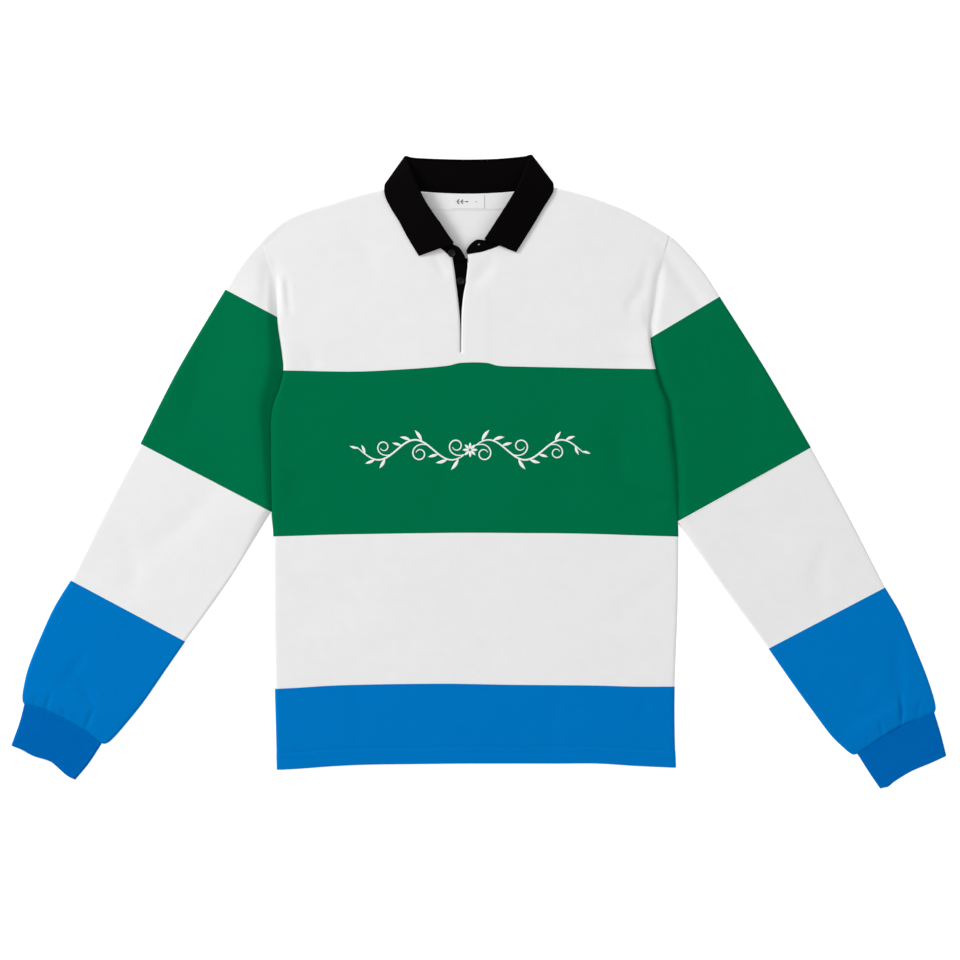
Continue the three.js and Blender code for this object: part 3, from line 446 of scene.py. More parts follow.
def smooth(rows, column=1):
    """A smooth curve through the rows of a table, which goes on straight past both ends."""
    xs = np.array([row[0] for row in rows], float)
    ys = np.array([row[column] for row in rows], float)
    last = len(xs) - 1
    before = np.maximum(np.arange(last + 1) - 1, 0)
    after = np.minimum(np.arange(last + 1) + 1, last)
    slopes = (ys[after] - ys[before]) / (xs[after] - xs[before])

    def read(x):
        x = np.asarray(x, float)
        i = np.clip(np.searchsorted(xs, x), 1, last)
        run = xs[i] - xs[i - 1]
        raw = (x - xs[i - 1]) / run
        t = np.clip(raw, 0, 1)
        bend = slopes[i - 1] * run * t * (1 - t) ** 2 - slopes[i] * run * t * t * (1 - t)
        past = slopes[i - 1] * run * np.minimum(raw, 0) + slopes[i] * run * np.maximum(raw - 1, 0)
        return mix(ys[i - 1], ys[i], t * t * (3 - 2 * t)) + bend + past

    return read


def along(rows, t):
    """Points on a smooth path through rows of numbers, at shares t of the way."""
    rows = np.asarray(rows, float)
    place = np.clip(np.asarray(t, float), 0, 1) * (len(rows) - 1)
    i = np.minimum(place.astype(int), len(rows) - 2)
    f = (place - i).reshape(place.shape + (1,) * (rows.ndim - 1))
    p, q, r, s = [rows[np.clip(i + k, 0, len(rows) - 1)] for k in (-1, 0, 1, 2)]
    square = 2 * p - 5 * q + 4 * r - s
    return q + ((r - p) * f + square * f**2 + (3 * q - p - 3 * r + s) * f**3) / 2


left_side = smooth(SIDES, 1)
right_side = smooth(SIDES, 2)
hem_edge = smooth(SEAMS, 1)
hem_top = smooth(SEAMS, 2)
waist_top = smooth(SEAMS, 3)
chest_top = smooth(SEAMS, 4)
slit_left = smooth(SLIT, 1)
slit_right = smooth(SLIT, 2)
shoulder_left = smooth(SHOULDER_LEFT)
shoulder_right = smooth(SHOULDER_RIGHT)
back_neck = smooth(BACK_NECK)
back_chest_top = smooth([SEAMS[0], SEAMS[-1]], 4)
front_tops = [smooth(table) for table in (FRONT_TOP_LEFT, FRONT_NECK, FRONT_TOP_RIGHT)]


def front_top(x):
    left, neck, right = [read(x) for read in front_tops]
    return np.where(x <= NECK_LEFT, left, np.where(x >= NECK_RIGHT, right, neck))


print("half chest", round(float(right_side(9) - left_side(9))), "mm")

# %% [markdown]
# ## Height of the cloth
# The front lies on the back as a nearly level sheet. On top of that come the creases, the long slow
# waves of cloth that is never quite flat, and the raised strip of the facing behind the buttonholes.

# %% Height field
CREASE_ENDS = 0.25


def creases(x, y, table):
    x, y = np.broadcast_arrays(np.asarray(x, float), np.asarray(y, float))
    total = np.zeros(x.shape)
    for rise, left, right, *numbers in table:
        line = np.reshape(numbers, (-1, 2))
        runs = np.linalg.norm(np.diff(line, axis=0), axis=1)
        nearest = np.full(x.shape, np.inf)
        side = np.zeros(x.shape)
        share = np.zeros(x.shape)
        gone = 0.0
        for (x1, y1), (x2, y2), run in zip(line, line[1:], runs):
            t = np.clip(((x - x1) * (x2 - x1) + (y - y1) * (y2 - y1)) / run**2, 0, 1)
            dx, dy = x - mix(x1, x2, t), y - mix(y1, y2, t)
            away = np.hypot(dx, dy)
            nearer = away < nearest
            nearest = np.where(nearer, away, nearest)
            side = np.where(nearer, (x2 - x1) * dy - (y2 - y1) * dx, side)
            share = np.where(nearer, (gone + t * run) / runs.sum(), share)
            gone += run
        width = np.where(side > 0, left, right)
        fade = mix(CREASE_ENDS, 1, np.sin(np.pi * share) ** 0.7)
        total += rise * np.exp(-((nearest / width) ** 2)) * fade
    return total


# Slow waves: wave length, direction in degrees, height, phase
WAVES = [
    [173, 20, 0.16, 0.6],
    [121, 74, 0.12, 2.1],
    [96, 131, 0.10, 4.4],
    [67, 48, 0.06, 1.3],
    [43, 103, 0.035, 5.2],
]


def slow_waves(x, y):
    total = 0.0
    for length, degrees, height, phase in WAVES:
        angle = math.radians(degrees)
        way = (x * math.cos(angle) + y * math.sin(angle)) * 2 * math.pi / length
        total = total + height * np.sin(way + phase)
    return total


def upper_rise(x, y):
    """Rise or fall of the upper layer of cloth over its level."""
    return creases(x, y, CREASES) + slow_waves(x, y)


def under_rise(x, y):
    """How far a crease lifts the under layer off the table."""
    return creases(x, y, UNDER_CREASES)


FACING_RISE = 0.2
PUCKER = 0.07
PUCKER_MM = 9.5


def facing_rise(x, y):
    """The front is a little higher over the facing, from the slit to its outer edge."""
    inside = ease((x - slit_right(y)) / 2.5) * ease((FACING_RIGHT + 1.5 - x) / 3)
    return FACING_RISE * inside * ease((y - SLIT_BOTTOM + 14) / 6)


# %% [markdown]
# ## One wall of cloth
# Every panel is made by one function. It takes a grid of middle points, gives each its normal, and
# makes an outer and an inner skin. Free edges thin out in a half round, as folded cloth does. A sewn
# edge keeps its thickness and sinks a little, so that two panels meet in a soft groove.

# %% The wall function
SEAM_DIP = 0.08
SEAM_WIDTH = 2.4
EDGE_MM = [0.0, 0.08, 0.26, 0.55, 1.0, 1.7, 2.7]


def steps(length, spacing, low_edge=True, high_edge=True):
    """Shares of a length, evenly spaced in its middle and close together at the edges."""
    low = [d / length for d in EDGE_MM] if low_edge else [0.0]
    high = [1 - d / length for d in reversed(EDGE_MM)] if high_edge else [1.0]
    count = max(2, round((high[0] - low[-1]) * length / spacing))
    return np.array(low + list(np.linspace(low[-1], high[0], count + 1)[1:-1]) + high)


def run_lengths(sheet, axis):
    """Distance along the rows or the columns of a grid of points."""
    gaps = np.linalg.norm(np.diff(sheet, axis=axis), axis=2)
    start = np.zeros_like(np.take(gaps, [0], axis=axis))
    return np.cumsum(np.concatenate([start, gaps], axis=axis), axis=axis)


def distance_to(points, edge_points):
    tree = kdtree.KDTree(len(edge_points))
    for k, p in enumerate(edge_points):
        tree.insert(p, k)
    tree.balance()
    return np.array([tree.find(p)[2] for p in points])


def grid_normals(points, quads):
    across = points[quads[:, 2]] - points[quads[:, 0]]
    up = points[quads[:, 3]] - points[quads[:, 1]]
    face = np.cross(across, up)
    face /= np.linalg.norm(face, axis=1)[:, None] + 1e-12
    total = np.zeros_like(points)
    for corner in range(4):
        np.add.at(total, quads[:, corner], face)
    return total / (np.linalg.norm(total, axis=1)[:, None] + 1e-12)


def wall(name, sheet, thickness, material, ring=False, gone=None, sewn=(), relief=0.0, cloth=None):
    """Makes a wall of cloth from a grid of middle points in millimetres. sewn names the edges that
    are in a seam: "first" and "last" row, "left" and "right" column. relief raises the outer skin."""
    rows, columns = sheet.shape[:2]
    cells = np.ones((rows - 1, columns if ring else columns - 1), bool)
    if gone is not None:
        cells &= ~gone
    ids = np.arange(rows * columns).reshape(rows, columns)
    here = ids if ring else ids[:, :-1]
    beside = np.roll(ids, -1, 1) if ring else ids[:, 1:]
    quads = np.stack([here[:-1], beside[:-1], beside[1:], here[1:]], -1)[cells]
    edges = np.concatenate([quads[:, [k, (k + 1) % 4]] for k in range(4)])
    _, first, count = np.unique(np.sort(edges, axis=1), axis=0, return_index=True, return_counts=True)
    rim = edges[first[count == 1]]
    used = np.unique(quads)
    middle = sheet.reshape(-1, 3).copy()
    normals = grid_normals(middle, quads)

    # A sewn edge sinks, and a free edge thins out in a half round
    ends = {"first": ids[0], "last": ids[-1], "left": ids[:, 0], "right": ids[:, -1]}
    line = np.unique(np.concatenate([ends[side] for side in sewn])) if sewn else np.array([], int)
    line = line[np.isin(line, used)]
    if len(line):
        near = distance_to(middle[used], middle[line])
        middle[used] -= normals[used] * (SEAM_DIP * (1 - ease(near / SEAM_WIDTH)))[:, None]
        normals = grid_normals(middle, quads)
    thick = np.broadcast_to(thickness, (rows, columns)).reshape(-1).astype(float)
    free = np.setdiff1d(np.unique(rim), line)
    if len(free):
        near = np.full(len(middle), 9.0)
        near[used] = distance_to(middle[used], middle[free])
        round_off = np.clip(near / (thick / 2), 0, 1)
        thick = thick * np.sqrt(np.clip(1 - 0.96 * (1 - round_off) ** 2, 0, 1))
    raised = np.broadcast_to(relief, (rows, columns)).reshape(-1)
    outer = middle + normals * (thick / 2 + raised)[:, None]
    inner = middle - normals * (thick / 2)[:, None]
    inner[:, 2] = np.maximum(inner[:, 2], 0)
    outer[:, 2] = np.maximum(outer[:, 2], 0)

    # Cloth coordinates in metres, for the knit
    if cloth is None:
        closed = np.concatenate([sheet, sheet[:, :1]], axis=1) if ring else sheet
        cloth = np.stack([run_lengths(closed, 1), run_lengths(closed, 0)], -1)
    uv_ids = np.arange(cloth.shape[0] * cloth.shape[1]).reshape(cloth.shape[:2])
    uv_quads = np.stack([uv_ids[:-1, :-1], uv_ids[:-1, 1:], uv_ids[1:, 1:], uv_ids[1:, :-1]], -1)[cells]
    uv = cloth.reshape(-1, 2) * MM
    corner_uv = np.zeros((len(middle), 2))
    corner_uv[quads.reshape(-1)] = uv[uv_quads.reshape(-1)]

    number = np.full(len(middle), -1)
    number[used] = np.arange(len(used))
    n = len(used)
    q, r = number[quads], number[rim]
    side_faces = np.stack([r[:, 1], r[:, 0], r[:, 0] + n, r[:, 1] + n], 1)
    faces = np.concatenate([q, q[:, ::-1] + n, side_faces])
    face_uv = np.concatenate([uv[uv_quads], uv[uv_quads][:, ::-1], corner_uv[rim[:, [1, 0, 0, 1]]]])
    return mesh_object(name, np.concatenate([outer[used], inner[used]]), faces, material, face_uv)


def mesh_object(name, points, faces, material, face_uv=None):
    """A smooth mesh object from points in millimetres, with its faces turned outwards."""
    corners = points[faces]
    spans = np.cross(corners[:, 2] - corners[:, 0], corners[:, 3] - corners[:, 1])
    if np.einsum("ij,ij->", corners.mean(1), spans) < 0:
        faces = faces[:, ::-1]
        face_uv = None if face_uv is None else face_uv[:, ::-1]
    mesh = bpy.data.meshes.new(name)
    mesh.from_pydata((points * MM).tolist(), [], faces.tolist())
    mesh.polygons.foreach_set("use_smooth", [True] * len(mesh.polygons))
    if face_uv is not None:
        layer = mesh.uv_layers.new(name="cloth")
        layer.data.foreach_set("uv", face_uv.reshape(-1).astype(np.float32))
    mesh.materials.append(material)
    mesh.update()
    made = bpy.data.objects.new(name, mesh)
    scene.collection.objects.link(made)
    return made


# %% [markdown]
# ## Materials
# Heavy cotton jersey is a matte, slightly hairy knit: almost no highlight, a soft sheen at a low
# angle, and columns of small V stitches. One function adds a node with its settings and links, and
# each cloth is a function that says what the real material is.

# %% Node helper and colour helper
def add_node(tree, kind, settings=None, inputs=None):
    """Adds a node. An input that is a node takes that node's first output."""
    made = tree.nodes.new(kind)
    for name, value in (settings or {}).items():
        setattr(made, name, value)
    for name, value in (inputs or {}).items():
        if isinstance(value, bpy.types.Node):
            value = value.outputs[0]
        if isinstance(value, bpy.types.NodeSocket):
            tree.links.new(value, made.inputs[name])
        else:
            made.inputs[name].default_value = value
    return made


def linear(hex_code):
    """Turns an sRGB hex colour into the linear colour that Blender mixes."""
    channels = [int(hex_code[k : k + 2], 16) / 255 for k in (1, 3, 5)]
    return [c / 12.92 if c <= 0.04045 else ((c + 0.055) / 1.055) ** 2.4 for c in channels] + [1.0]


def new_material(name):
    material = bpy.data.materials.new(name)
    material.use_nodes = True
    tree = material.node_tree
    tree.nodes.clear()
    return material, tree


def finish_with(tree, shader):
    add_node(tree, "ShaderNodeOutputMaterial", None, {"Surface": shader})


# The pattern of a Wave node repeats once in this length at scale 1
WAVE_PERIOD = 2 * math.pi / 20
MATH = "ShaderNodeMath"

# %% [markdown]
# ### Cotton jersey
# Jersey is knitted in columns of V stitches. Real ones are about 1.1 mm wide in this weight. They are
# drawn 1.6 mm wide here, because a finer one melts into an even tone at the size of the render. The
# dye sits in the fibres, so the little light that the surface throws back has the cloth's own colour.

# %% Cotton jersey
WALE_MM = 1.6
COURSE_MM = 1.3


def cotton_jersey(name, colour, bump=0.6):
    """Heavy combed-cotton jersey: matte, with fine columns of V stitches, painted shade in the gaps between them, and
    a faint bloom of lint.
    """
    material, tree = new_material(name)
    uv = add_node(tree, "ShaderNodeUVMap", {"uv_map": "cloth"})
    place = add_node(tree, "ShaderNodeSeparateXYZ", None, {0: uv})
    wale = add_node(tree, MATH, {"operation": "DIVIDE"}, {0: place.outputs[0], 1: WALE_MM * MM})
    within = add_node(tree, MATH, {"operation": "FRACT"}, {0: wale})
    off = add_node(tree, MATH, {"operation": "SUBTRACT"}, {0: within, 1: 0.5})
    lean = add_node(tree, MATH, {"operation": "ABSOLUTE"}, {0: off})
    course = add_node(tree, MATH, {"operation": "DIVIDE"}, {0: place.outputs[1], 1: COURSE_MM * MM})
    climb = add_node(tree, MATH, {"operation": "ADD"}, {0: course, 1: lean})
    turn = add_node(tree, MATH, {"operation": "MULTIPLY"}, {0: climb, 1: 2 * math.pi})
    loop = add_node(tree, MATH, {"operation": "SINE"}, {0: turn})
    arm = add_node(tree, MATH, {"operation": "PINGPONG"}, {0: within, 1: 0.25})
    stitch = add_node(tree, MATH, {"operation": "MULTIPLY_ADD"}, {0: arm, 1: 3.0, 2: loop})
    where = add_node(tree, "ShaderNodeTexCoord").outputs["Object"]
    lint = add_node(tree, "ShaderNodeTexNoise", None, {"Vector": where, "Scale": 900.0, "Detail": 3.0})
    cloudy = add_node(tree, "ShaderNodeTexNoise", None, {"Vector": where, "Scale": 70.0, "Detail": 5.0})
    height = add_node(tree, MATH, {"operation": "MULTIPLY_ADD"}, {0: lint, 1: 1.2, 2: stitch})
    ground = add_node(tree, MATH, {"operation": "MULTIPLY_ADD"}, {0: cloudy, 1: 0.05, 2: 0.975})
    # Painted shade: the colour is a little darker in the gaps between the stitches and lighter on their loops. The
    # slow cloudy change of tone under it is the cloth's own.
    value = add_node(tree, MATH, {"operation": "MULTIPLY_ADD"}, {0: stitch, 1: 0.012, 2: ground})
    tone = add_node(tree, "ShaderNodeHueSaturation", None, {"Value": value, "Color": linear(colour)})
    bumps = {"Strength": bump, "Distance": 0.07 * MM, "Height": height}
    relief = add_node(tree, "ShaderNodeBump", None, bumps)
    look = {
        "Base Color": tone,
        "Roughness": 0.92,
        "Specular IOR Level": 0.12,
        "Specular Tint": linear(colour),
        "Sheen Weight": 0.12,
        "Sheen Roughness": 0.5,
        "Sheen Tint": linear(colour),
        "Normal": relief,
    }
    finish_with(tree, add_node(tree, "ShaderNodeBsdfPrincipled", None, look))
    return material


# %% [markdown]
# ### Rib knit
# Collar and cuffs are rib: columns that stand up with a valley between them, so that the cloth can
# stretch and spring back. The cuffs' ribs are in their mesh, and their material adds the stitches.

# %% Rib knit
LOOP_MM = 1.2


def rib_knit(name, colour, rib_mm, strength=0.7):
    """Rib knit of cotton with a little elastane: raised columns with a valley between them, shaded by the bump and by
    shade painted into the colour.
    """
    material, tree = new_material(name)
    uv = add_node(tree, "ShaderNodeUVMap", {"uv_map": "cloth"})
    columns = {"Vector": uv, "Scale": WAVE_PERIOD / (rib_mm * MM)}
    rib = add_node(tree, "ShaderNodeTexWave", {"bands_direction": "X"}, columns)
    rows = {"Vector": uv, "Scale": WAVE_PERIOD / (LOOP_MM * MM)}
    loop = add_node(tree, "ShaderNodeTexWave", {"bands_direction": "Y"}, rows)
    where = add_node(tree, "ShaderNodeTexCoord").outputs["Object"]
    lint = add_node(tree, "ShaderNodeTexNoise", None, {"Vector": where, "Scale": 1100.0, "Detail": 3.0})
    cloudy = add_node(tree, "ShaderNodeTexNoise", None, {"Vector": where, "Scale": 60.0, "Detail": 4.0})
    loops = {0: loop.outputs["Fac"], 1: 0.25, 2: rib.outputs["Fac"]}
    knit = add_node(tree, MATH, {"operation": "MULTIPLY_ADD"}, loops)
    height = add_node(tree, MATH, {"operation": "MULTIPLY_ADD"}, {0: lint, 1: 0.5, 2: knit})
    ground = add_node(tree, MATH, {"operation": "MULTIPLY_ADD"}, {0: cloudy, 1: 0.1, 2: 0.88})
    # Painted shade: the colour is darker in the valleys between the ribs and between the loops, and lighter on their
    # tops. The slow cloudy change of tone is the yarn's own.
    value = add_node(tree, MATH, {"operation": "MULTIPLY_ADD"}, {0: knit, 1: 0.12, 2: ground})
    tone = add_node(tree, "ShaderNodeHueSaturation", None, {"Value": value, "Color": linear(colour)})
    bumps = {"Strength": strength, "Distance": 0.16 * MM, "Height": height}
    relief = add_node(tree, "ShaderNodeBump", None, bumps)
    look = {
        "Base Color": tone,
        "Roughness": 0.9,
        "Specular IOR Level": 0.08,
        "Specular Tint": linear(colour),
        "Sheen Weight": 0.1,
        "Sheen Roughness": 0.4,
        "Sheen Tint": linear(colour),
        "Normal": relief,
    }
    finish_with(tree, add_node(tree, "ShaderNodeBsdfPrincipled", None, look))
    return material


# %% [markdown]
# ### Tape, thread and rubber
# The button band and the label are woven, so they get slanting lines of twill or satin. Thread is
# twisted, and its turns show as short slanting lights painted into its colour. The buttons are
# moulded rubber, dull with a thin skin from the mould.

# %% Woven tape, thread and rubber
def woven_tape(name, colour, line_mm, gloss):
    """Woven tape: flat, with fine slanting lines of its weave."""
    material, tree = new_material(name)
    uv = add_node(tree, "ShaderNodeUVMap", {"uv_map": "cloth"})
    lines = {"Vector": uv, "Scale": WAVE_PERIOD / (line_mm * MM)}
    weave = add_node(tree, "ShaderNodeTexWave", {"bands_direction": "DIAGONAL"}, lines)
    value = add_node(tree, "ShaderNodeMapRange", None, {0: weave.outputs["Fac"], "To Min": 0.93, "To Max": 1.0})
    tone = add_node(tree, "ShaderNodeHueSaturation", None, {"Value": value, "Color": linear(colour)})
    bumps = {"Strength": 0.5, "Distance": 0.08 * MM, "Height": weave.outputs["Fac"]}
    relief = add_node(tree, "ShaderNodeBump", None, bumps)
    look = {
        "Base Color": tone,
        "Roughness": 0.75,
        "Specular IOR Level": gloss,
        "Specular Tint": linear(colour),
        "Normal": relief,
    }
    finish_with(tree, add_node(tree, "ShaderNodeBsdfPrincipled", None, look))
    return material


def twisted_thread(name, colour, turn_mm):
    """Polyester sewing thread: soft lustre, with the slant of its twist."""
    material, tree = new_material(name)
    uv = add_node(tree, "ShaderNodeUVMap", {"uv_map": "cloth"})
    lines = {"Vector": uv, "Scale": WAVE_PERIOD / (turn_mm * MM), "Distortion": 0.6}
    twist = add_node(tree, "ShaderNodeTexWave", {"bands_direction": "X"}, lines)
    # Painted highlight: the colour is lighter along each turn of the twist and darker between turns.
    value = add_node(tree, "ShaderNodeMapRange", None, {0: twist.outputs["Fac"], "To Min": 0.88, "To Max": 1.0})
    tone = add_node(tree, "ShaderNodeHueSaturation", None, {"Value": value, "Color": linear(colour)})
    bumps = {"Strength": 0.6, "Distance": 0.08 * MM, "Height": twist.outputs["Fac"]}
    relief = add_node(tree, "ShaderNodeBump", None, bumps)
    look = {"Base Color": tone, "Roughness": 0.55, "Specular IOR Level": 0.3, "Normal": relief}
    finish_with(tree, add_node(tree, "ShaderNodeBsdfPrincipled", None, look))
    return material


def moulded_rubber(name, colour):
    """Moulded rubber: dull black with a faint skin from the mould and fine scuffs."""
    material, tree = new_material(name)
    where = add_node(tree, "ShaderNodeTexCoord").outputs["Object"]
    skin = add_node(tree, "ShaderNodeTexNoise", None, {"Vector": where, "Scale": 700.0, "Detail": 5.0})
    scuffs = add_node(tree, "ShaderNodeMapRange", None, {0: skin, "To Min": 0.42, "To Max": 0.6})
    bumps = {"Strength": 0.3, "Distance": 0.05 * MM, "Height": skin}
    relief = add_node(tree, "ShaderNodeBump", None, bumps)
    look = {"Base Color": linear(colour), "Roughness": scuffs, "Specular IOR Level": 0.2, "Normal": relief}
    finish_with(tree, add_node(tree, "ShaderNodeBsdfPrincipled", None, look))
    return material


WHITE = cotton_jersey("cotton_jersey_white", "#ececec")
GREEN = cotton_jersey("cotton_jersey_green", "#006e46")
BLUE = cotton_jersey("cotton_jersey_blue", "#0074c0")
CUFF_BLUE = rib_knit("rib_knit_dark_blue", "#0063b1", rib_mm=2.4)
COLLAR_BLACK = rib_knit("rib_knit_black", "#0a0809", rib_mm=2.0)
BAND_BLACK = woven_tape("cotton_twill_black", "#0a0809", line_mm=1.2, gloss=0.05)
LABEL_WHITE = woven_tape("woven_label_white", "#efefef", line_mm=0.9, gloss=0.3)
RUBBER = moulded_rubber("moulded_rubber", "#040405")
THREAD_WHITE = twisted_thread("polyester_thread_white", "#f8fbf9", turn_mm=1.0)
THREAD_BLUE = twisted_thread("polyester_thread_blue", "#0a69ad", turn_mm=1.0)
THREAD_BLACK = twisted_thread("polyester_thread_black", "#1b1b1c", turn_mm=1.0)

# %% [markdown]
# ## Body panels
# Each panel of the body lies between two seams and the two side edges. A column of its grid is a
# curve that gives x at a height, and each of its points is a share of the height between the seams.

# %% Bands and the place of a point on them
BANDS = {
    "hem": (hem_edge, hem_top),
    "waist": (hem_top, waist_top),
    "chest": (waist_top, chest_top),
    "yoke": (chest_top, front_top),
}
PLACE_PASSES = 12


def place_on(bottom, top, column, share):
    share = np.asarray(share, float)
    y = mix(bottom(0.0), top(0.0), share)
    for _ in range(PLACE_PASSES):
        x = column(y) + 0 * y
        y = mix(bottom(x), top(x), share)
    return x, y


# Steps in from a side edge: plan distance and share of the rise, for a rolled edge and a soft one
ROLLED = [[0.7, 0], [0.7, 0.14], [0.94, 0.45], [1.9, 0.82], [3.7, 1]]
SOFT = [[0.0, 0], [1.0, 0.25], [2.0, 0.55], [3.0, 0.8], [4.2, 1]]
SIDE_STEPS = np.linspace(0, 1, 11)
EDGE_WIDTH = 6


def columns_of(guides, spacing):
    """The columns of a body panel: round each side edge, and between guides about spacing apart."""
    columns = [{"side": -1, "step": s, "x": left_side} for s in SIDE_STEPS]
    for span, (left, right) in enumerate(zip(guides, guides[1:])):
        start = EDGE_WIDTH if span == 0 else 0
        end = EDGE_WIDTH if span == len(guides) - 2 else 0
        width = float(right(0.0) - left(0.0)) - start - end
        count = max(1, round(width / spacing))
        for k in range(0 if span == 0 else 1, count + 1):
            share = k / count

            def x_at(y, left=left, right=right, start=start, end=end, share=share):
                return mix(left(y) + start, right(y) - end, share)

            columns.append({"side": 0, "x": x_at, "span": span, "share": share})
    columns += [{"side": 1, "step": s, "x": right_side} for s in SIDE_STEPS[::-1]]
    return columns


def softness(side, y):
    """How soft the armhole edge is: 0 where the edge rolls over, 1 at the shoulder point."""
    top = SHOULDER_LEFT[0][1] if side < 0 else SHOULDER_RIGHT[-1][1]
    return ease((y - top + ARMHOLE_FADE) / (ARMHOLE_FADE - 8))


def soft_edge_mid(x, y):
    return FRONT_MID + upper_rise(x, y)


def at(value):
    return lambda y: value + 0 * np.asarray(y, float)


# %% Front panels
COLUMN_SPACING = 3.0
front_guides = [left_side, at(NECK_LEFT), slit_left, slit_right, at(NECK_RIGHT), right_side]
front_columns = columns_of(front_guides, COLUMN_SPACING)
SLIT_CELL = next(k for k, c in enumerate(front_columns) if c["side"] == 0 and c["span"] == 2) - 1


def front_height(x, y):
    return FRONT_MID + upper_rise(x, y) + facing_rise(x, y)


def front_column_points(band, column, shares):
    bottom, top = BANDS[band]
    if column["side"] == 0:
        x, y = place_on(bottom, top, column["x"], shares)
        return np.stack([x, y, front_height(x, y)], 1)
    side = column["side"]
    _, edge_y = place_on(bottom, top, column["x"], shares)
    soft = softness(side, edge_y)
    rolled_in, rolled_rise = along(ROLLED, column["step"])
    soft_in, soft_rise = along(SOFT, column["step"])
    inward = mix(rolled_in, soft_in, soft)
    x, y = place_on(bottom, top, lambda h: column["x"](h) - side * inward, shares)
    low = mix(SIDE_MID + 0.02, soft_edge_mid(x, y), soft)
    z = mix(low, front_height(x, y), mix(rolled_rise, soft_rise, soft))
    return np.stack([x, y, z], 1)


def band_height(band):
    bottom, top = BANDS[band]
    return float(top(-60.0) - bottom(-60.0))


def hem_thickness(sheet):
    """The hem is two layers thick up to its stitch line."""
    up = sheet[:, :, 1] - hem_edge(sheet[:, :, 0])
    return JERSEY + (HEM_FOLD - JERSEY) * (1 - ease((up - HEM_TURN + 0.8) / 1.6))


def hem_groove(sheet):
    """The twin row of stitches pulls the cloth in a little."""
    up = sheet[:, :, 1] - hem_edge(sheet[:, :, 0])
    return 0.3 * np.exp(-(((up - HEM_TURN) / 1.6) ** 2))


def seam_puckers(sheet):
    """Small ripples beside the seams, where two lengths of cloth were eased together."""
    x, y = sheet[:, :, 0], sheet[:, :, 1]
    total = np.zeros(x.shape)
    for seam, phase in ((hem_top, 0.4), (waist_top, 2.2), (chest_top, 4.1)):
        near = np.exp(-(((y - seam(x)) / 5.5) ** 2))
        wander = np.sin(x * 2 * math.pi / 61 + phase)
        total += near * wander * np.sin(x * 2 * math.pi / PUCKER_MM + phase + 2.5 * wander)
    return PUCKER * total


def band_shares(band, spacing):
    """Rows of a band, closer together at its seams and at the hem's stitch line."""
    tall = band_height(band)
    shares = steps(tall, spacing)
    if band != "hem":
        return shares
    turn = HEM_TURN / tall
    near = np.array([-3.4, -2.2, -1.4, -0.7, 0, 0.7, 1.4, 2.2, 3.4]) / tall
    return np.sort(np.concatenate([shares[np.abs(shares - turn) > near[-1] * 1.3], turn + near]))


def front_panel(band, material):
    shares = band_shares(band, COLUMN_SPACING)
    sheet = np.stack([front_column_points(band, c, shares) for c in front_columns], 1)
    sheet[:, :, 2] += seam_puckers(sheet)
    thickness = JERSEY
    if band == "hem":
        thickness = hem_thickness(sheet)
        sheet[:, :, 2] -= (thickness - JERSEY) / 2 + hem_groove(sheet)
    gone = np.zeros((sheet.shape[0] - 1, sheet.shape[1] - 1), bool)
    if band == "yoke":
        gone[:, SLIT_CELL] = sheet[:-1, SLIT_CELL, 1] >= SLIT_BOTTOM
    sewn = ["last", "left", "right"] if band == "hem" else ["first", "last", "left", "right"]
    cloth = sheet[:, :, :2].copy()
    return wall(f"front_{band}_cloth", sheet, thickness, material, gone=gone, sewn=sewn, cloth=cloth)


# %% [markdown]
# ## Back panels
# The back lies flat on the table. Below the underarm its sides turn up to the side seams, where they
# meet the front, and a few creases lift it off the table.

# %% Back panels
BACK_SPACING = 7.0
back_guides = [left_side, at(POINT_LEFT), at(POINT_RIGHT), right_side]
back_columns = columns_of(back_guides, BACK_SPACING)
# Share of the chest band's height, and share by which the side is turned up there
TURNED_UP = {
    -1: [[0, 1], [0.02, 0.85], [0.148, 0.3], [0.33, 0], [1, 0]],
    1: [[0, 1], [0.02, 0.85], [0.09, 0.3], [0.3, 0], [1, 0]],
}


def turned_up(band, side, shares):
    if band in ("hem", "waist"):
        return np.ones(len(shares))
    if band == "yoke":
        return np.zeros(len(shares))
    table = np.array(TURNED_UP[side], float)
    return np.interp(shares, table[:, 0], table[:, 1])


def back_column_points(bottom, top, band, column, shares):
    side = column["side"]
    x, y = place_on(bottom, top, column["x"], shares)
    if side == 0:
        return np.stack([x, y, BACK_MID + under_rise(x, y)], 1)
    turned = turned_up(band, side, shares)
    rolled_in, rolled_rise = along(ROLLED, column["step"])
    inward = mix(along(SOFT, column["step"])[0], rolled_in, turned)
    z = mix(BACK_MID, mix(SIDE_MID - 0.02, BACK_MID, rolled_rise), turned)
    return np.stack([x - side * inward, y, z], 1)


def back_panel(band, material):
    bottom, top = BANDS[band]
    top = back_chest_top if band == "chest" else top
    shares = band_shares(band, BACK_SPACING)
    sheet = np.stack([back_column_points(bottom, top, band, c, shares) for c in back_columns], 1)
    thickness = JERSEY
    if band == "hem":
        inside = np.array([c["side"] == 0 for c in back_columns])
        thickness = np.where(inside[None, :], hem_thickness(sheet), JERSEY)
        sheet[:, inside, 2] += (thickness[:, inside] - JERSEY) / 2 + hem_groove(sheet)[:, inside]
    sewn = ["last", "left", "right"] if band == "hem" else ["first", "last", "left", "right"]
    cloth = sheet[:, :, :2].copy()
    return wall(f"back_{band}_cloth", sheet, thickness, material, sewn=sewn, cloth=cloth)


# %% [markdown]
# ## Back yoke
# The back yoke runs up the back, rolls over each shoulder and comes down to a seam on the front. The
# roll is a half round between the height of the back and the height of the front.

# %% Back yoke
YOKE_TALL = 180
NECK_YOKE_TALL = 212
FLAP_WIDE = 20


def roll_of(low, high, thick):
    rise = (high - low) / 2
    return rise, np.minimum(ROLL, rise * rise / (thick * 0.58))


def fold_at(x):
    return np.where(np.asarray(x) < 0, shoulder_left(x), shoulder_right(x))


def outward(x):
    way = np.array([float(fold_at(x) - fold_at(x + 1)), 1.0])
    return way / np.linalg.norm(way)


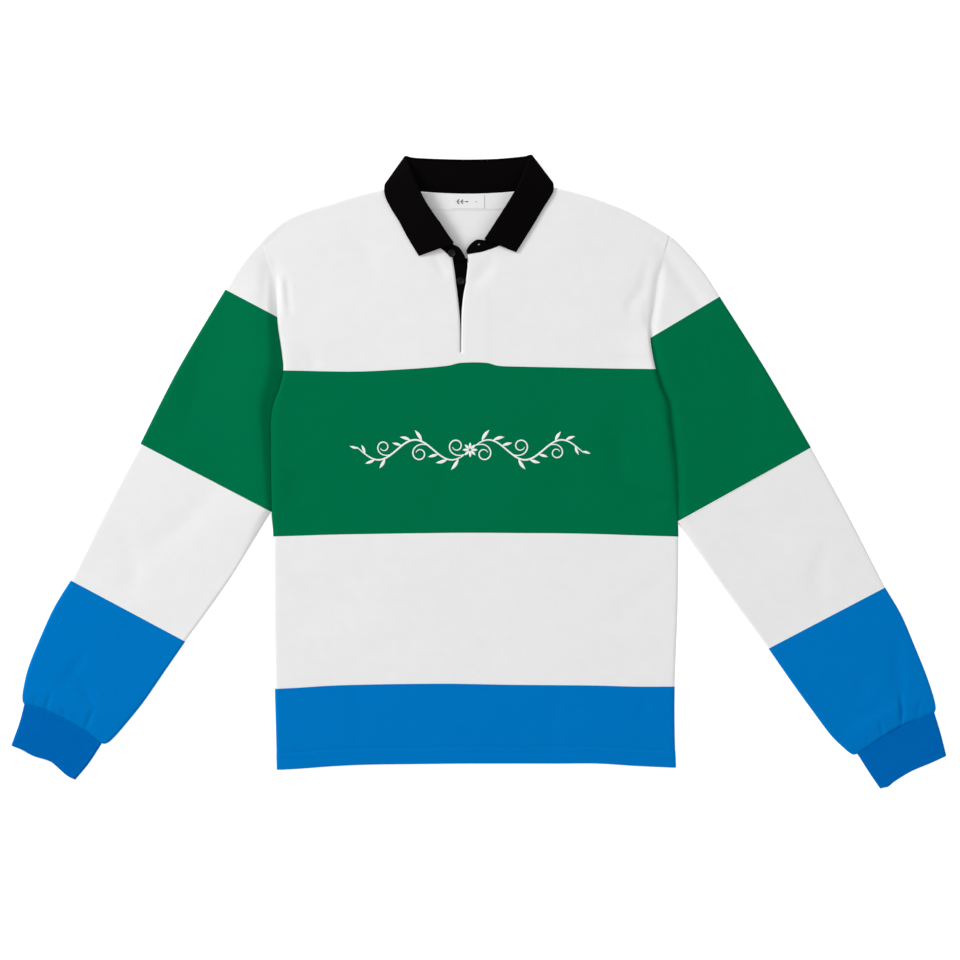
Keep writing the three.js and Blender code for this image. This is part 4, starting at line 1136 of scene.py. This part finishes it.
def back_yoke_top(x):
    x = np.asarray(x, float)
    lean = fold_at(x) - fold_at(x + 1)
    below = fold_at(x) - (2 * ROLL + JERSEY) * np.sqrt(1 + lean**2)
    neck = (x > POINT_LEFT + 0.01) & (x < POINT_RIGHT - 0.01)
    return np.where(neck, back_neck(x), below)


def flap_partner(column):
    """The front column that a back column meets at the shoulder seam."""
    if column["side"] != 0:
        return column
    left = column["span"] == 0
    a, b = front_guides[:2] if left else front_guides[-2:]
    start, end = (EDGE_WIDTH, 0) if left else (0, EDGE_WIDTH)
    return {"side": 0, "x": lambda y: mix(a(y) + start, b(y) - end, column["share"])}


def back_yoke():
    shares = steps(YOKE_TALL, BACK_SPACING)
    facing = 1 - NECK_FACING_TALL / NECK_YOKE_TALL
    near = facing + np.array([-0.012, -0.006, -0.002, 0.002, 0.006, 0.012])
    shares = np.sort(np.concatenate([shares[np.abs(shares - facing) > 0.02], near]))
    angles = np.radians(np.linspace(-90, 90, 13))
    flap = steps(FLAP_WIDE, 2.5, low_edge=False)
    columns = [back_column_points(back_chest_top, back_yoke_top, "yoke", c, shares) for c in back_columns]
    base = np.stack(columns, 1)
    # A facing inside the back of the neck makes the yoke a little thicker, down to its stitches
    x = base[:, :, 0]
    across = ease((x + 92) / 10) * ease((66 - x) / 10)
    base[:, :, 2] += NECK_FACING * across * ease((shares[:, None] - facing + 0.002) / 0.004)
    over = np.repeat(base[-1:], len(angles) + len(flap) - 1, axis=0)
    open_neck = np.zeros(len(back_columns), bool)
    for j, column in enumerate(back_columns):
        foot = base[-1, j]
        if POINT_LEFT + 0.01 < foot[0] < POINT_RIGHT - 0.01:
            open_neck[j] = True
            continue
        x, turn = foot[0], 1.0
        if column["side"] != 0:
            arm_top = SHOULDER_LEFT[0][0] if column["side"] < 0 else SHOULDER_RIGHT[-1][0]
            x = arm_top - column["side"] * along(SOFT, column["step"])[0]
            turn = column["step"]
        end = front_column_points("yoke", flap_partner(column), np.array([1.0]))[0]
        tip = np.array([x, float(fold_at(x))])
        way = tip - foot[:2]
        way = mix(way / np.linalg.norm(way), outward(x), turn)
        way /= np.linalg.norm(way)
        rise, reach = roll_of(BACK_MID, end[2], JERSEY)
        start = tip - way * (reach + JERSEY / 2)
        for k, angle in enumerate(angles):
            over[k, j] = [*(start + way * reach * math.cos(angle)), BACK_MID + rise * (1 + math.sin(angle))]
        from_top = np.array([*start, BACK_MID + 2 * rise])
        end = end + unit(end - from_top) * TUCK - np.array([0, 0, TUCK / 5])
        over[len(angles) :, j] = mix(from_top, end, flap[1:, None])
    sheet = np.concatenate([base, over])
    gone = np.zeros((sheet.shape[0] - 1, sheet.shape[1] - 1), bool)
    gone[len(shares) - 1 :] = (open_neck[:-1] | open_neck[1:])[None, :]
    cloth = np.stack([sheet[:, :, 0], run_lengths(sheet, 0)], -1)
    sewn = ["first", "last", "left", "right"]
    return wall("back_yoke_cloth", sheet, JERSEY, WHITE, gone=gone, sewn=sewn, cloth=cloth)


# %% [markdown]
# ## Sleeves
# A sleeve is a flattened tube. Each row of its grid is one line across it: over the top from the
# inner edge to the outer fold, round the fold, and back along the table. Above the underarm the
# sleeve starts at the armhole and slopes down to it, so that a soft shadow lies beside the body.

# %% One line across a sleeve
TOP_STEPS = steps(120, 1.8, high_edge=False)
UNDER_STEPS = np.linspace(1, 0, 18)
FOLD_ANGLES = np.radians(np.linspace(90, -90, 11)[1:-1])
CUFF_TOP_STEPS = steps(96, 0.8, high_edge=False)
CUFF_UNDER_STEPS = np.linspace(1, 0, 120)


CUFF_CREASES = 0.35


def sleeve_row(inner, outer, lift, edge_mid, slope, puff, ring, thick, top_mid, rise_share=1.0, fine=False):
    """Points of one line across. lift gives the rise of the line at a share of its width, edge_mid
    is the height of the cloth at the inner end, slope the width over which it rises from there, and
    puff how far it then stands above its level. rise_share is how much of the creases it shows."""
    inner, outer = np.array(inner, float), np.array(outer, float)
    length = np.linalg.norm(outer - inner)
    way = (outer - inner) / length
    up = np.array([way[1], -way[0]]) if way[0] < 0 else np.array([-way[1], way[0]])
    low = thick / 2

    def place(distance):
        distance = np.atleast_1d(distance)
        raised = lift(np.clip(distance / length, 0, 1))
        return inner + np.outer(distance, way) + np.outer(raised, up)

    def height(distance, xy):
        distance = np.atleast_1d(distance)
        sloped = fall(distance / min(slope, length))
        raised = puff * np.exp(-((np.maximum(distance - slope, 0) / PUFF_WIDTH) ** 2))
        level = top_mid + raised + rise_share * upper_rise(xy[:, 0], xy[:, 1])
        return mix(edge_mid, level, sloped)

    inner_rise, inner_reach = roll_of(low, edge_mid, thick)
    start = inner_reach + thick / 2 if ring else 0.0
    outer_top = float(height(length, place(length))[0])
    reach = roll_of(low, outer_top, thick)[1]
    reach = max(0.1, min(reach, length - thick / 2 - 0.2 * length))
    stop = max(length - reach - thick / 2, 0.2 * length)
    distance = mix(start, stop, CUFF_TOP_STEPS if fine else TOP_STEPS)
    xy = place(distance)
    top = np.column_stack([xy, height(distance, xy)])
    rise = (top[-1, 2] - low) / 2
    xy = place(stop) + np.outer(reach * np.cos(FOLD_ANGLES), way)
    fold = np.column_stack([xy, low + rise * (1 + np.sin(FOLD_ANGLES))])
    xy = place(mix(start, stop, CUFF_UNDER_STEPS if fine else UNDER_STEPS))
    lifted = 0 if fine else under_rise(xy[:, 0], xy[:, 1])
    under = np.column_stack([xy, np.full(len(xy), low) + lifted])
    if not ring:
        return np.concatenate([top, fold, under])
    back = FOLD_ANGLES[::-1]
    xy = place(start) - np.outer(inner_reach * np.cos(back), way)
    inner_fold = np.column_stack([xy, low + inner_rise * (1 + np.sin(back))])
    return np.concatenate([top, fold, under, inner_fold])


# %% Sleeve pieces
UNDERARM_DIP = 1.2
CUFF_RIB_MM = 2.4
CUFF_RIB_RISE = 0.3


def armhole_height(side_name, band, share):
    bottom, top = BANDS[band]
    edge = left_side if side_name == "left" else right_side
    return float(place_on(bottom, top, edge, np.array([share]))[1][0])


def bow(amount):
    return lambda share: 4 * amount * share * (1 - share)


def tube_rows(lines, shares, row_at):
    """Rows of a tube between lines across the sleeve, with row_at to finish each one."""
    rows = []
    for t in shares:
        ox, oy, ix, iy, amount = along(lines, t)
        rows.append(row_at(t, [ix, iy], [ox, oy], amount))
    return np.stack(rows)


def cap_and_upper_band(side_name):
    side = -1 if side_name == "left" else 1
    edge = left_side if side < 0 else right_side
    shape = SLEEVES[side_name]
    slope_at = smooth(shape["slope"], 1)
    puff_at = smooth(shape["slope"], 2)

    def row(y, outer):
        x = float(edge(y))
        soft = float(softness(side, y))
        edge_mid = float(mix(ARMHOLE_MID, soft_edge_mid(x, y) - TUCK / 5, soft))
        x -= side * TUCK
        slope, puff = float(slope_at(y)), float(puff_at(y))
        return sleeve_row([x, y], outer, bow(0), edge_mid, slope, puff, False, JERSEY, SLEEVE_MID)

    knots = [armhole_height(side_name, "yoke", share) for share in CAP_SHARES[side_name]]
    cap = []
    for t in steps(75, 3.0, low_edge=False):
        y = float(np.interp(t * (len(knots) - 1), range(len(knots)), knots))
        cap.append(row(y, along(shape["cap"], t)))
    stripe_y = knots[-1]
    underarm_y = armhole_height(side_name, "chest", UNDERARM_SHARE[side_name])
    fold = [shape["cap"][-1], shape["upper"], shape["lower"][0][:2]]
    upper = [row(float(mix(stripe_y, underarm_y, t)), along(fold, t)) for t in steps(220, 3.4)]
    return np.stack(cap), np.stack(upper), float(puff_at(underarm_y))


def sleeve(side_name):
    shape = SLEEVES[side_name]
    seam_wave, edge_wave = smooth(shape["seam_wave"]), smooth(shape["edge_wave"])
    cap, upper, start_puff = cap_and_upper_band(side_name)

    def lower_row(t, inner, outer, amount):
        early = 1 - ease(t / 0.4)
        mid = SLEEVE_MID - UNDERARM_DIP * early
        puff = start_puff * early
        return sleeve_row(inner, outer, bow(amount), mid, 10, puff, True, JERSEY, SLEEVE_MID)

    def wrist_row(t, inner, outer, amount):
        at_seam = ease((t - 5 / 6) * 6)
        end = mix(SLEEVE_MID, CUFF_SEAM_MID + 0.05, at_seam)

        def lift(share):
            return mix(bow(amount)(share), seam_wave(share), at_seam)

        shown = mix(1, CUFF_CREASES, at_seam)
        return sleeve_row(inner, outer, lift, end, 14, 0, True, JERSEY, end, shown)

    def cuff_row(t, inner, outer, amount):
        mid = mix(CUFF_SEAM_MID, CUFF_EDGE_MID, ease(t))

        def lift(share):
            return mix(seam_wave(share), edge_wave(share), ease(t))

        return sleeve_row(inner, outer, lift, mid, 14, 0, True, CUFF_RIB, mid, CUFF_CREASES, fine=True)

    lower = tube_rows(shape["lower"], steps(190, 3.4), lower_row)
    wrist = tube_rows(shape["wrist"], steps(160, 2.0), wrist_row)
    cuff = tube_rows(shape["cuff"], steps(50, 3.0), cuff_row)
    closed = np.concatenate([cuff, cuff[:, :1]], axis=1)
    around = run_lengths(closed, 1)
    rib_count = np.round(around[:, -1].mean() / CUFF_RIB_MM)
    ribs = 0.5 + 0.5 * np.cos(2 * np.pi * rib_count * around[:, :-1] / around[:, -1:])
    ribs *= CUFF_RIB_RISE * ease(run_lengths(cuff, 0) / 3)
    name = f"sleeve_{side_name}"
    all_sewn = ["first", "last", "left", "right"]
    return {
        f"{name}_cap": wall(f"{name}_cap_cloth", cap, JERSEY, WHITE, sewn=all_sewn),
        f"{name}_upper_band": wall(f"{name}_upper_cloth", upper, JERSEY, GREEN, sewn=all_sewn),
        f"{name}_lower_band": wall(f"{name}_lower_cloth", lower, JERSEY, WHITE, ring=True, sewn=["first", "last"]),
        f"{name}_wrist_band": wall(f"{name}_wrist_cloth", wrist, JERSEY, BLUE, ring=True, sewn=["first", "last"]),
        f"{name}_cuff": wall(f"{name}_cuff_rib", cuff, CUFF_RIB, CUFF_BLUE, ring=True, sewn=["first"], relief=ribs),
    }


# %% [markdown]
# ## Collar
# The collar is one strip of rib. The stand rises from the neck seam to the roll, and the leaf falls
# from the roll over the shirt. A grid of a few stations is drawn first and then refined.

# %% Collar
BUTTONHOLE = [-0.3, 273.4]
BUTTONHOLE_REACH = 1.0


def refine(grid, times):
    return along(grid, np.linspace(0, 1, (len(grid) - 1) * times + 1))


def collar_stations():
    table = np.array(COLLAR, float)
    seam, roll, edge = table[:, 0:3], table[:, 3:6], table[:, 6:9]
    stations = []
    for k in range(len(table)):
        a, b = max(k - 1, 0), min(k + 1, len(table) - 1)
        run = unit(seam[b] - seam[a]) + unit(roll[b] - roll[a])
        rise = unit(roll[k] - seam[k])
        stations.append((seam[k], roll[k], edge[k], rise, unit(np.cross(rise, run))))
    return stations


def stand_row(seam, top, out, shares):
    bowed = STAND_BOW * np.sin(np.pi * shares**0.7)
    return mix(seam, top, shares[:, None]) - out * bowed[:, None]


def collar_stand(stations):
    shares = steps(24, 2.0)
    down = np.array([0, 0, -0.3])
    rows = [stand_row(np.array(r[:3]), np.array(r[3:]), down, shares) for r in STAND_LEFT_END]
    for seam, roll, _, rise, out in stations:
        apart = COLLAR_ROLL + COLLAR_RIB / 2 + 0.3 + 1.5 * (1 - abs(out[2]))
        rows.append(stand_row(seam, roll - rise * apart, out, shares))
    rows += [stand_row(np.array(r[:3]), np.array(r[3:]), down, shares) for r in STAND_RIGHT_END]
    sheet = refine(np.array(rows), 10)
    middle = (sheet[:-1, :-1, :2] + sheet[1:, 1:, :2]) / 2
    hole = np.linalg.norm(middle - np.array(BUTTONHOLE), axis=2) < BUTTONHOLE_REACH
    return wall("collar_stand_rib", sheet, COLLAR_RIB, COLLAR_BLACK, gone=hole, sewn=["left"])


def collar_leaf(stations):
    rows = []
    for _, roll, edge, rise, out in stations:
        base = roll - rise * (COLLAR_ROLL + COLLAR_RIB / 2)
        angles = np.radians(np.linspace(-90, 90, 13))[:, None]
        turn = base + rise * COLLAR_ROLL * np.cos(angles) + out * COLLAR_ROLL * (1 + np.sin(angles))
        fall_shares = steps(36, 2.4, low_edge=False)[1:, None]
        rows.append(np.concatenate([turn, mix(turn[-1], edge, fall_shares)]))
    return wall("collar_leaf_rib", refine(np.array(rows), 10), COLLAR_RIB, COLLAR_BLACK)


# %% Button band and neck label
def button_band():
    left, right = smooth(BAND_UNDER, 1), smooth(BAND_UNDER, 2)
    heights = mix(128, 257, steps(129, 4))
    shares = steps(34, 3)
    sheet = np.array([[[mix(left(y), right(y), s), y, BAND_MID] for s in shares] for y in heights], float)
    return wall("placket_button_twill", sheet, BUTTON_BAND, BAND_BLACK)


def neck_label():
    left, right, bottom, top = LABEL_BOX
    xs = mix(left, right, steps(39, 3))
    ys = mix(bottom, top, steps(16.5, 3))
    sheet = np.array([[[x, y, JERSEY + NECK_FACING + LABEL / 2] for x in xs] for y in ys], float)
    return wall("neck_label_tape", sheet, LABEL, LABEL_WHITE)


# %% [markdown]
# ## Buttons
# Rugby shirts have rubber buttons, so that nobody is hurt in a tackle. Each is a turned form: a flat
# base, a round rim and a dished middle.

# %% Buttons
BUTTON_AROUND = 48
# Turned outline from the base to the middle of the top: radius, height
BUTTON_PROFILE = [
    [0.01, 0.0], [3.8, 0.0], [4.25, 0.1], [4.52, 0.45], [4.6, 0.9], [4.57, 1.65], [4.4, 2.1],
    [4.0, 2.36], [3.6, 2.4], [3.25, 2.25], [2.85, 1.9], [2.2, 1.75], [0.01, 1.7],
]


def button(name):
    around = np.linspace(0, 2 * np.pi, BUTTON_AROUND, endpoint=False)
    profile = np.array(BUTTON_PROFILE)
    flat = np.zeros((len(profile), BUTTON_AROUND, 3))
    flat[:, :, 0] = profile[:, :1] * np.cos(around)
    flat[:, :, 1] = profile[:, :1] * np.sin(around)
    flat[:, :, 2] = profile[:, 1:]
    turn = np.array(Vector(BUTTONS[name]["tilt"]).to_track_quat("Z", "Y").to_matrix())
    points = flat.reshape(-1, 3) @ turn.T + np.array(BUTTONS[name]["at"])
    ids = np.arange(len(points)).reshape(len(profile), BUTTON_AROUND)
    beside = np.roll(ids, -1, 1)
    faces = np.stack([ids[:-1], beside[:-1], beside[1:], ids[1:]], -1).reshape(-1, 4)
    return mesh_object(f"{name}_rubber", points, faces, RUBBER)


# %% [markdown]
# ## Thread
# Stitches and embroidery are raised bars of thread that lie on the cloth, half sunk into it. One
# function makes them all: each bar follows a short path on the surface and tapers at its ends.

# %% Bars of thread
BAR_SIDES = 8


def thread_bars(name, bars, material):
    """Joins bars of thread into one mesh. A bar is its path, its width, its height and its taper."""
    turn = np.linspace(0, 2 * np.pi, BAR_SIDES, endpoint=False)
    points, faces, uvs, count = [], [], [], 0
    for path, width, height, taper in bars:
        path = np.asarray(path, float)
        way = np.gradient(path[:, :2], axis=0)
        way /= np.linalg.norm(way, axis=1)[:, None]
        across = np.column_stack([-way[:, 1], way[:, 0], np.zeros(len(path))])
        share = np.linspace(0, 1, len(path))
        size = np.clip(np.sin(np.pi * share), 0.02, 1) ** taper
        ring = path[:, None, :] + across[:, None, :] * (np.cos(turn) * width / 2)[None, :, None] * size[:, None, None]
        ring[:, :, 2] += np.sin(turn)[None, :] * height * np.sqrt(size)[:, None]
        ids = count + np.arange(ring.shape[0] * BAR_SIDES).reshape(-1, BAR_SIDES)
        beside = np.roll(ids, -1, 1)
        body = np.stack([ids[:-1], beside[:-1], beside[1:], ids[1:]], -1).reshape(-1, 4)
        run = np.concatenate([[0], np.cumsum(np.linalg.norm(np.diff(path, axis=0), axis=1))])
        u = np.repeat(run[:, None], BAR_SIDES + 1, 1)
        v = np.repeat(np.linspace(0, width * 2, BAR_SIDES + 1)[None, :], len(run), 0)
        uv = np.stack([u, v], -1)
        uv_quads = np.stack([uv[:-1, :-1], uv[:-1, 1:], uv[1:, 1:], uv[1:, :-1]], 2).reshape(-1, 4, 2)
        points.append(ring.reshape(-1, 3))
        faces.append(body)
        uvs.append(uv_quads)
        for end, order in ((ids[0], (3, 2, 1, 0)), (ids[-1], (0, 1, 2, 3))):
            half = [[0, 1, 2, 3], [0, 3, 4, 7], [4, 5, 6, 7]]
            cap = np.array([[end[quad[k]] for k in order] for quad in half])
            faces.append(cap)
            uvs.append(np.zeros((3, 4, 2)))
        count += ring.shape[0] * BAR_SIDES
    joined = np.concatenate(points)
    return mesh_object(name, joined, np.concatenate(faces), material, np.concatenate(uvs) * MM)


def stitches_on(path, surface, pitch, length, width=0.6, height=0.22):
    """A row of stitches along a path of x, y points. surface gives the height of the cloth."""
    path = np.asarray(path, float)
    run = np.concatenate([[0], np.cumsum(np.linalg.norm(np.diff(path, axis=0), axis=1))])
    bars = []
    for start in np.arange(pitch / 2, run[-1] - length, pitch):
        s = np.linspace(start, start + length, 5)
        x, y = np.interp(s, run, path[:, 0]), np.interp(s, run, path[:, 1])
        bars.append((np.column_stack([x, y, surface(x, y)]), width, height, 0.35))
    return bars


# %% [markdown]
# ## Seams and stitches
# The hem is held by a twin row of stitches, front and back. The slit's edges are stitched through
# the facing, a short bar closes its foot, and the label and the neck tape are sewn down.

# %% Rows of stitches
STITCH_PITCH = 3.4
STITCH_LENGTH = 2.7
TWIN_GAP = 3.2


def hem_stitches():
    xs = np.linspace(-236, 230, 160)
    bars = []
    for offset in (-TWIN_GAP / 2, TWIN_GAP / 2):
        path = np.column_stack([xs, hem_edge(xs) + HEM_TURN + offset])

        def top(x, y):
            return front_height(x, y) + JERSEY / 2 - 0.3

        def under(x, y):
            return 0.24 + 0 * x

        bars += stitches_on(path, top, STITCH_PITCH, STITCH_LENGTH)
        bars += stitches_on(path, under, STITCH_PITCH, STITCH_LENGTH)
    return thread_bars("hem_stitches", bars, THREAD_BLUE)


def placket_stitches():
    heights = np.linspace(SLIT_BOTTOM + 2, 252, 60)

    def top(x, y):
        return front_height(x, y) + JERSEY / 2

    bars = []
    for edge, inset in ((slit_left, -2.2), (slit_right, 2.2)):
        bars += stitches_on(np.column_stack([edge(heights) + inset, heights]), top, 3.0, 2.3, 0.5, 0.16)
    foot = SLIT_BOTTOM - 1.5
    for k in range(4):
        y = foot - 0.7 * k
        bars += stitches_on([[-24.4, y], [-19.0, y]], top, 0.2, 4.8, 0.55, 0.2)[:1]
    return thread_bars("placket_stitches", bars, THREAD_WHITE)


def neck_stitches():
    left, right, bottom, top = LABEL_BOX
    on_label = JERSEY + NECK_FACING + LABEL
    lines = [[[left + 1, top - 1.6], [right - 1, top - 1.6]]]
    lines += [[[x, bottom + 1], [x, top - 1]] for x in (left + 1.2, right - 1.2)]
    bars = []
    for line in lines:
        bars += stitches_on(line, lambda x, y: on_label + 0 * x, 2.4, 1.7, 0.5, 0.14)

    def facing(x, y):
        return JERSEY + NECK_FACING + under_rise(x, y)

    xs = np.linspace(-80, 52, 60)
    path = np.column_stack([xs, back_neck(xs) - NECK_FACING_TALL + 2])
    bars += stitches_on(path, facing, 3.2, 2.4, 0.7, 0.2)
    return thread_bars("neck_stitches", bars, THREAD_WHITE)


# %% [markdown]
# ## Embroidery
# The chest carries a plain running vine in white satin stitch, and the label a tiny woven sprig.
# The vine is drawn once from its middle outwards and mirrored. A shoot leaves the stem at an angle
# and bends at an even or a growing rate, as a pen does, and swells in its middle.

# %% Running vine
VINE_MIDDLE = [-10.5, 27.0]
STEM_WAVE = 88.0
STEM_RISE = 12.0
STEM_HALF = 136.0
# Distance out along the stem, angle off it in degrees, length, bend at its start and its end in
# degrees a millimetre, width, taper
SHOOTS = [
    [6, -14, 62, -3.0, -12, 1.7, 0.2],
    [14, 48, 17, -2.5, -1, 4.2, 1.0],
    [27, 44, 15, -1, -3, 4.0, 1.0],
    [38, 60, 13, -2, 1, 3.6, 1.0],
    [50, 14, 62, 3.0, 12, 1.7, 0.2],
    [58, -48, 16, 2.5, 1, 4.2, 1.0],
    [71, -44, 14, 1, 3, 3.8, 1.0],
    [82, -60, 12, 2, -1, 3.4, 1.0],
    [94, -14, 54, -3.2, -14, 1.6, 0.2],
    [102, 48, 14, -2.5, -1, 3.8, 1.0],
    [114, 44, 13, -1, -3, 3.6, 1.0],
    [126, -40, 12, 2, 1, 3.2, 1.0],
    [134, 30, 11, -1, -1, 3.0, 1.0],
]
PETALS = 8
SATIN_RISE = 0.3


def swept(x, y, heading, length, bend, curl):
    """A path that starts at x, y and turns at a rate that grows from bend to curl."""
    count = max(6, round(length / 1.0))
    share = np.linspace(0, 1, count)
    angle = np.radians(heading + length * (bend * share + (curl - bend) * share**2 / 2))
    step = length / (count - 1)
    xs = x + np.concatenate([[0], np.cumsum(np.cos(angle[:-1]))]) * step
    ys = y + np.concatenate([[0], np.cumsum(np.sin(angle[:-1]))]) * step
    return np.column_stack([xs, ys])


def chest_vine():
    paths = []
    distance = np.linspace(7, STEM_HALF, 110)
    stem = np.column_stack([distance, STEM_RISE * np.sin(distance * 2 * math.pi / STEM_WAVE)])
    paths.append((stem, 2.2, 0.2))
    for out, angle, length, bend, curl, width, taper in SHOOTS:
        phase = out * 2 * math.pi / STEM_WAVE
        slope = STEM_RISE * 2 * math.pi / STEM_WAVE * math.cos(phase)
        heading = math.degrees(math.atan(slope)) + angle
        shoot = swept(out, STEM_RISE * math.sin(phase), heading, length, bend, curl)
        paths.append((shoot, width, taper))
    bars = []
    for path, width, taper in paths:
        for mirror in (1, -1):
            x = VINE_MIDDLE[0] + mirror * path[:, 0]
            y = VINE_MIDDLE[1] + mirror * path[:, 1]
            z = front_height(x, y) + JERSEY / 2
            bars.append((np.column_stack([x, y, z]), width, SATIN_RISE, taper))
    for k in range(PETALS):
        petal = swept(0, 0, 360 * k / PETALS, 9.0, 0, 0)[1:]
        x, y = VINE_MIDDLE[0] + petal[:, 0], VINE_MIDDLE[1] + petal[:, 1]
        bars.append((np.column_stack([x, y, front_height(x, y) + JERSEY / 2]), 3.2, SATIN_RISE, 0.8))
    return thread_bars("chest_vine", bars, THREAD_WHITE)


# The sprig on the label, a stem with leaves in pairs and a dot: x, y, heading, length, width
SPRIG = [
    [-29, 325.0, 0, 15, 0.7],
    [-26.5, 325.3, 42, 4.2, 1.5],
    [-26.5, 324.7, -42, 4.2, 1.5],
    [-21.5, 325.3, 42, 3.6, 1.4],
    [-21.5, 324.7, -42, 3.6, 1.4],
    [-16.5, 325.0, 0, 4.0, 1.5],
    [-4.0, 325.0, 0, 1.5, 1.2],
]


def label_sprig():
    bars = []
    for x, y, heading, length, width in SPRIG:
        path = swept(x, y, heading, length, 0, 0)
        height = np.full(len(path), JERSEY + NECK_FACING + LABEL)
        bars.append((np.column_stack([path, height]), width, 0.1, 0.8))
    return thread_bars("label_sprig", bars, THREAD_BLACK)


# %% Make every piece
cloth = {
    "front_hem_band": front_panel("hem", BLUE),
    "front_waist_band": front_panel("waist", WHITE),
    "front_chest_band": front_panel("chest", GREEN),
    "front_yoke": front_panel("yoke", WHITE),
    "back_hem_band": back_panel("hem", BLUE),
    "back_waist_band": back_panel("waist", WHITE),
    "back_chest_band": back_panel("chest", GREEN),
    "back_yoke": back_yoke(),
    **sleeve("left"),
    **sleeve("right"),
    "collar_stand": collar_stand(collar_stations()),
    "collar_leaf": collar_leaf(collar_stations()),
    "placket_button_band": button_band(),
    "neck_label": neck_label(),
}
buttons = {name: button(name) for name in BUTTONS}
threads = {
    "jersey_blue": [hem_stitches()],
    "jersey_white": [placket_stitches(), neck_stitches()],
    "label_white": [chest_vine(), label_sprig()],
}
for node, piece in cloth.items():
    print(node, len(piece.data.polygons), "faces")

# %% [markdown]
# ## Replace the imported solids
# Each new piece stands for one imported solid, which is hidden, and rides on the shirt's one body.
# Threads are new pieces and only ride along.

# %% Replace and ride
for node, piece in {**cloth, **buttons}.items():
    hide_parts(node)
    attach(piece, "root")
for slot, pieces in threads.items():
    for piece in pieces:
        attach(piece, "root")

# %% [markdown]
# ## Cut sizes
# Every piece of cloth is listed with the size it was cut to: width and length of the rectangle it
# is cut from, and the share of that rectangle that the piece fills. Cut and shown areas are printed.

CUTS = {
    "front_hem_band": [481, 98, 0.99, "laid", "back_hem_band"],
    "front_waist_band": [487, 183, 1.0, "laid", "back_waist_band"],
    "front_chest_band": [490, 206, 0.955, "laid", "back_chest_band"],
    "front_yoke": [484, 203, 0.805, "laid", "back_yoke"],
    "back_hem_band": [481, 98, 0.99, "laid", "floor"],
    "back_waist_band": [487, 183, 1.0, "laid", "floor"],
    "back_chest_band": [490, 202, 0.96, "laid", "floor"],
    "back_yoke": [490, 240, 0.87, "folded", "floor"],
    "sleeve_left_cap": [125, 84, 0.6, "folded", "floor"],
    "sleeve_left_upper_band": [340, 208, 0.77, "folded", "floor"],
    "sleeve_left_lower_band": [332, 190, 0.995, "folded", "floor"],
    "sleeve_left_wrist_band": [310, 160, 0.9, "folded", "floor"],
    "sleeve_left_cuff": [200, 52, 1.0, "folded", "floor"],
    "sleeve_right_cap": [150, 105, 0.69, "folded", "floor"],
    "sleeve_right_upper_band": [345, 208, 0.81, "folded", "floor"],
    "sleeve_right_lower_band": [335, 194, 1.0, "folded", "floor"],
    "sleeve_right_wrist_band": [315, 163, 0.91, "folded", "floor"],
    "sleeve_right_cuff": [200, 52, 1.0, "folded", "floor"],
    "collar_stand": [405, 31, 0.985, "folded", "back_yoke"],
    "collar_leaf": [450, 38, 0.92, "folded", "front_yoke"],
    "placket_button_band": [37, 129, 0.985, "laid", "back_yoke"],
    "neck_label": [39, 16.5, 1.0, "laid", "back_yoke"],
}
SEWN_ON = {
    "front_hem_band": threads["jersey_blue"],
    "front_yoke": threads["jersey_white"][:1],
    "back_yoke": threads["jersey_white"][1:],
    "front_chest_band": threads["label_white"][:1],
    "neck_label": threads["label_white"][1:],
}
for node, (width, length, share, held, below) in CUTS.items():
    flat = (width * MM, length * MM)
    piece_area = share * flat[0] * flat[1]
    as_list(SEWN_ON.get(node, ()))
    skin = sum(polygon.area for polygon in cloth[node].data.polygons) / 2
    print(node, "cut", round(piece_area, 4), "m2, shown", round(skin, 4), "m2")

# %% [markdown]
# ## Light and camera
# The shirt lies on a light table and is seen from straight above. A large soft lamp stands low on the
# left, so that creases show, a weaker one stands on the right, and the room fills the rest.

# %% Floor, light and camera
def area_light(name, place, size, power):
    lamp = bpy.data.lights.new(name, "AREA")
    lamp.shape = "SQUARE"
    lamp.size = size
    lamp.energy = power
    made = bpy.data.objects.new(name, lamp)
    made.location = place
    made.rotation_euler = (-Vector(place)).to_track_quat("-Z", "Y").to_euler()
    scene.collection.objects.link(made)


area_light("key_left", (-4.3, 2.5, 2.3), 1.4, 216)
area_light("fill_right", (2.8, -1.0, 2.8), 2.4, 14)
world = bpy.data.worlds.new("studio")
world.use_nodes = True
world.node_tree.nodes["Background"].inputs["Color"].default_value = (1, 1, 1, 1)
world.node_tree.nodes["Background"].inputs["Strength"].default_value = 0.62
scene.world = world
scene.view_settings.view_transform = "Standard"

floor_mesh = bpy.data.meshes.new("floor")
floor_mesh.from_pydata([(-6, -6, 0), (6, -6, 0), (6, 6, 0), (-6, 6, 0)], [], [(0, 1, 2, 3)])
floor = bpy.data.objects.new("floor", floor_mesh)
scene.collection.objects.link(floor)
floor_material, tree = new_material("studio_light_table")
paper = {
    "Base Color": linear("#e0e0e0"),
    "Roughness": 0.95,
    "Specular IOR Level": 0.1,
    "Emission Color": linear("#ffffff"),
    "Emission Strength": 0.62,
}
finish_with(tree, add_node(tree, "ShaderNodeBsdfPrincipled", None, paper))
floor_mesh.materials.append(floor_material)

LENS_MM = 135
VIEW_WIDTH = 1.152
camera_data = bpy.data.cameras.new("camera")
camera_data.lens = LENS_MM
camera_data.sensor_width = 36
camera = bpy.data.objects.new("camera", camera_data)
camera.location = (0.00126, -0.00912, VIEW_WIDTH * LENS_MM / 36 + 0.0045)
scene.collection.objects.link(camera)
scene.camera = camera
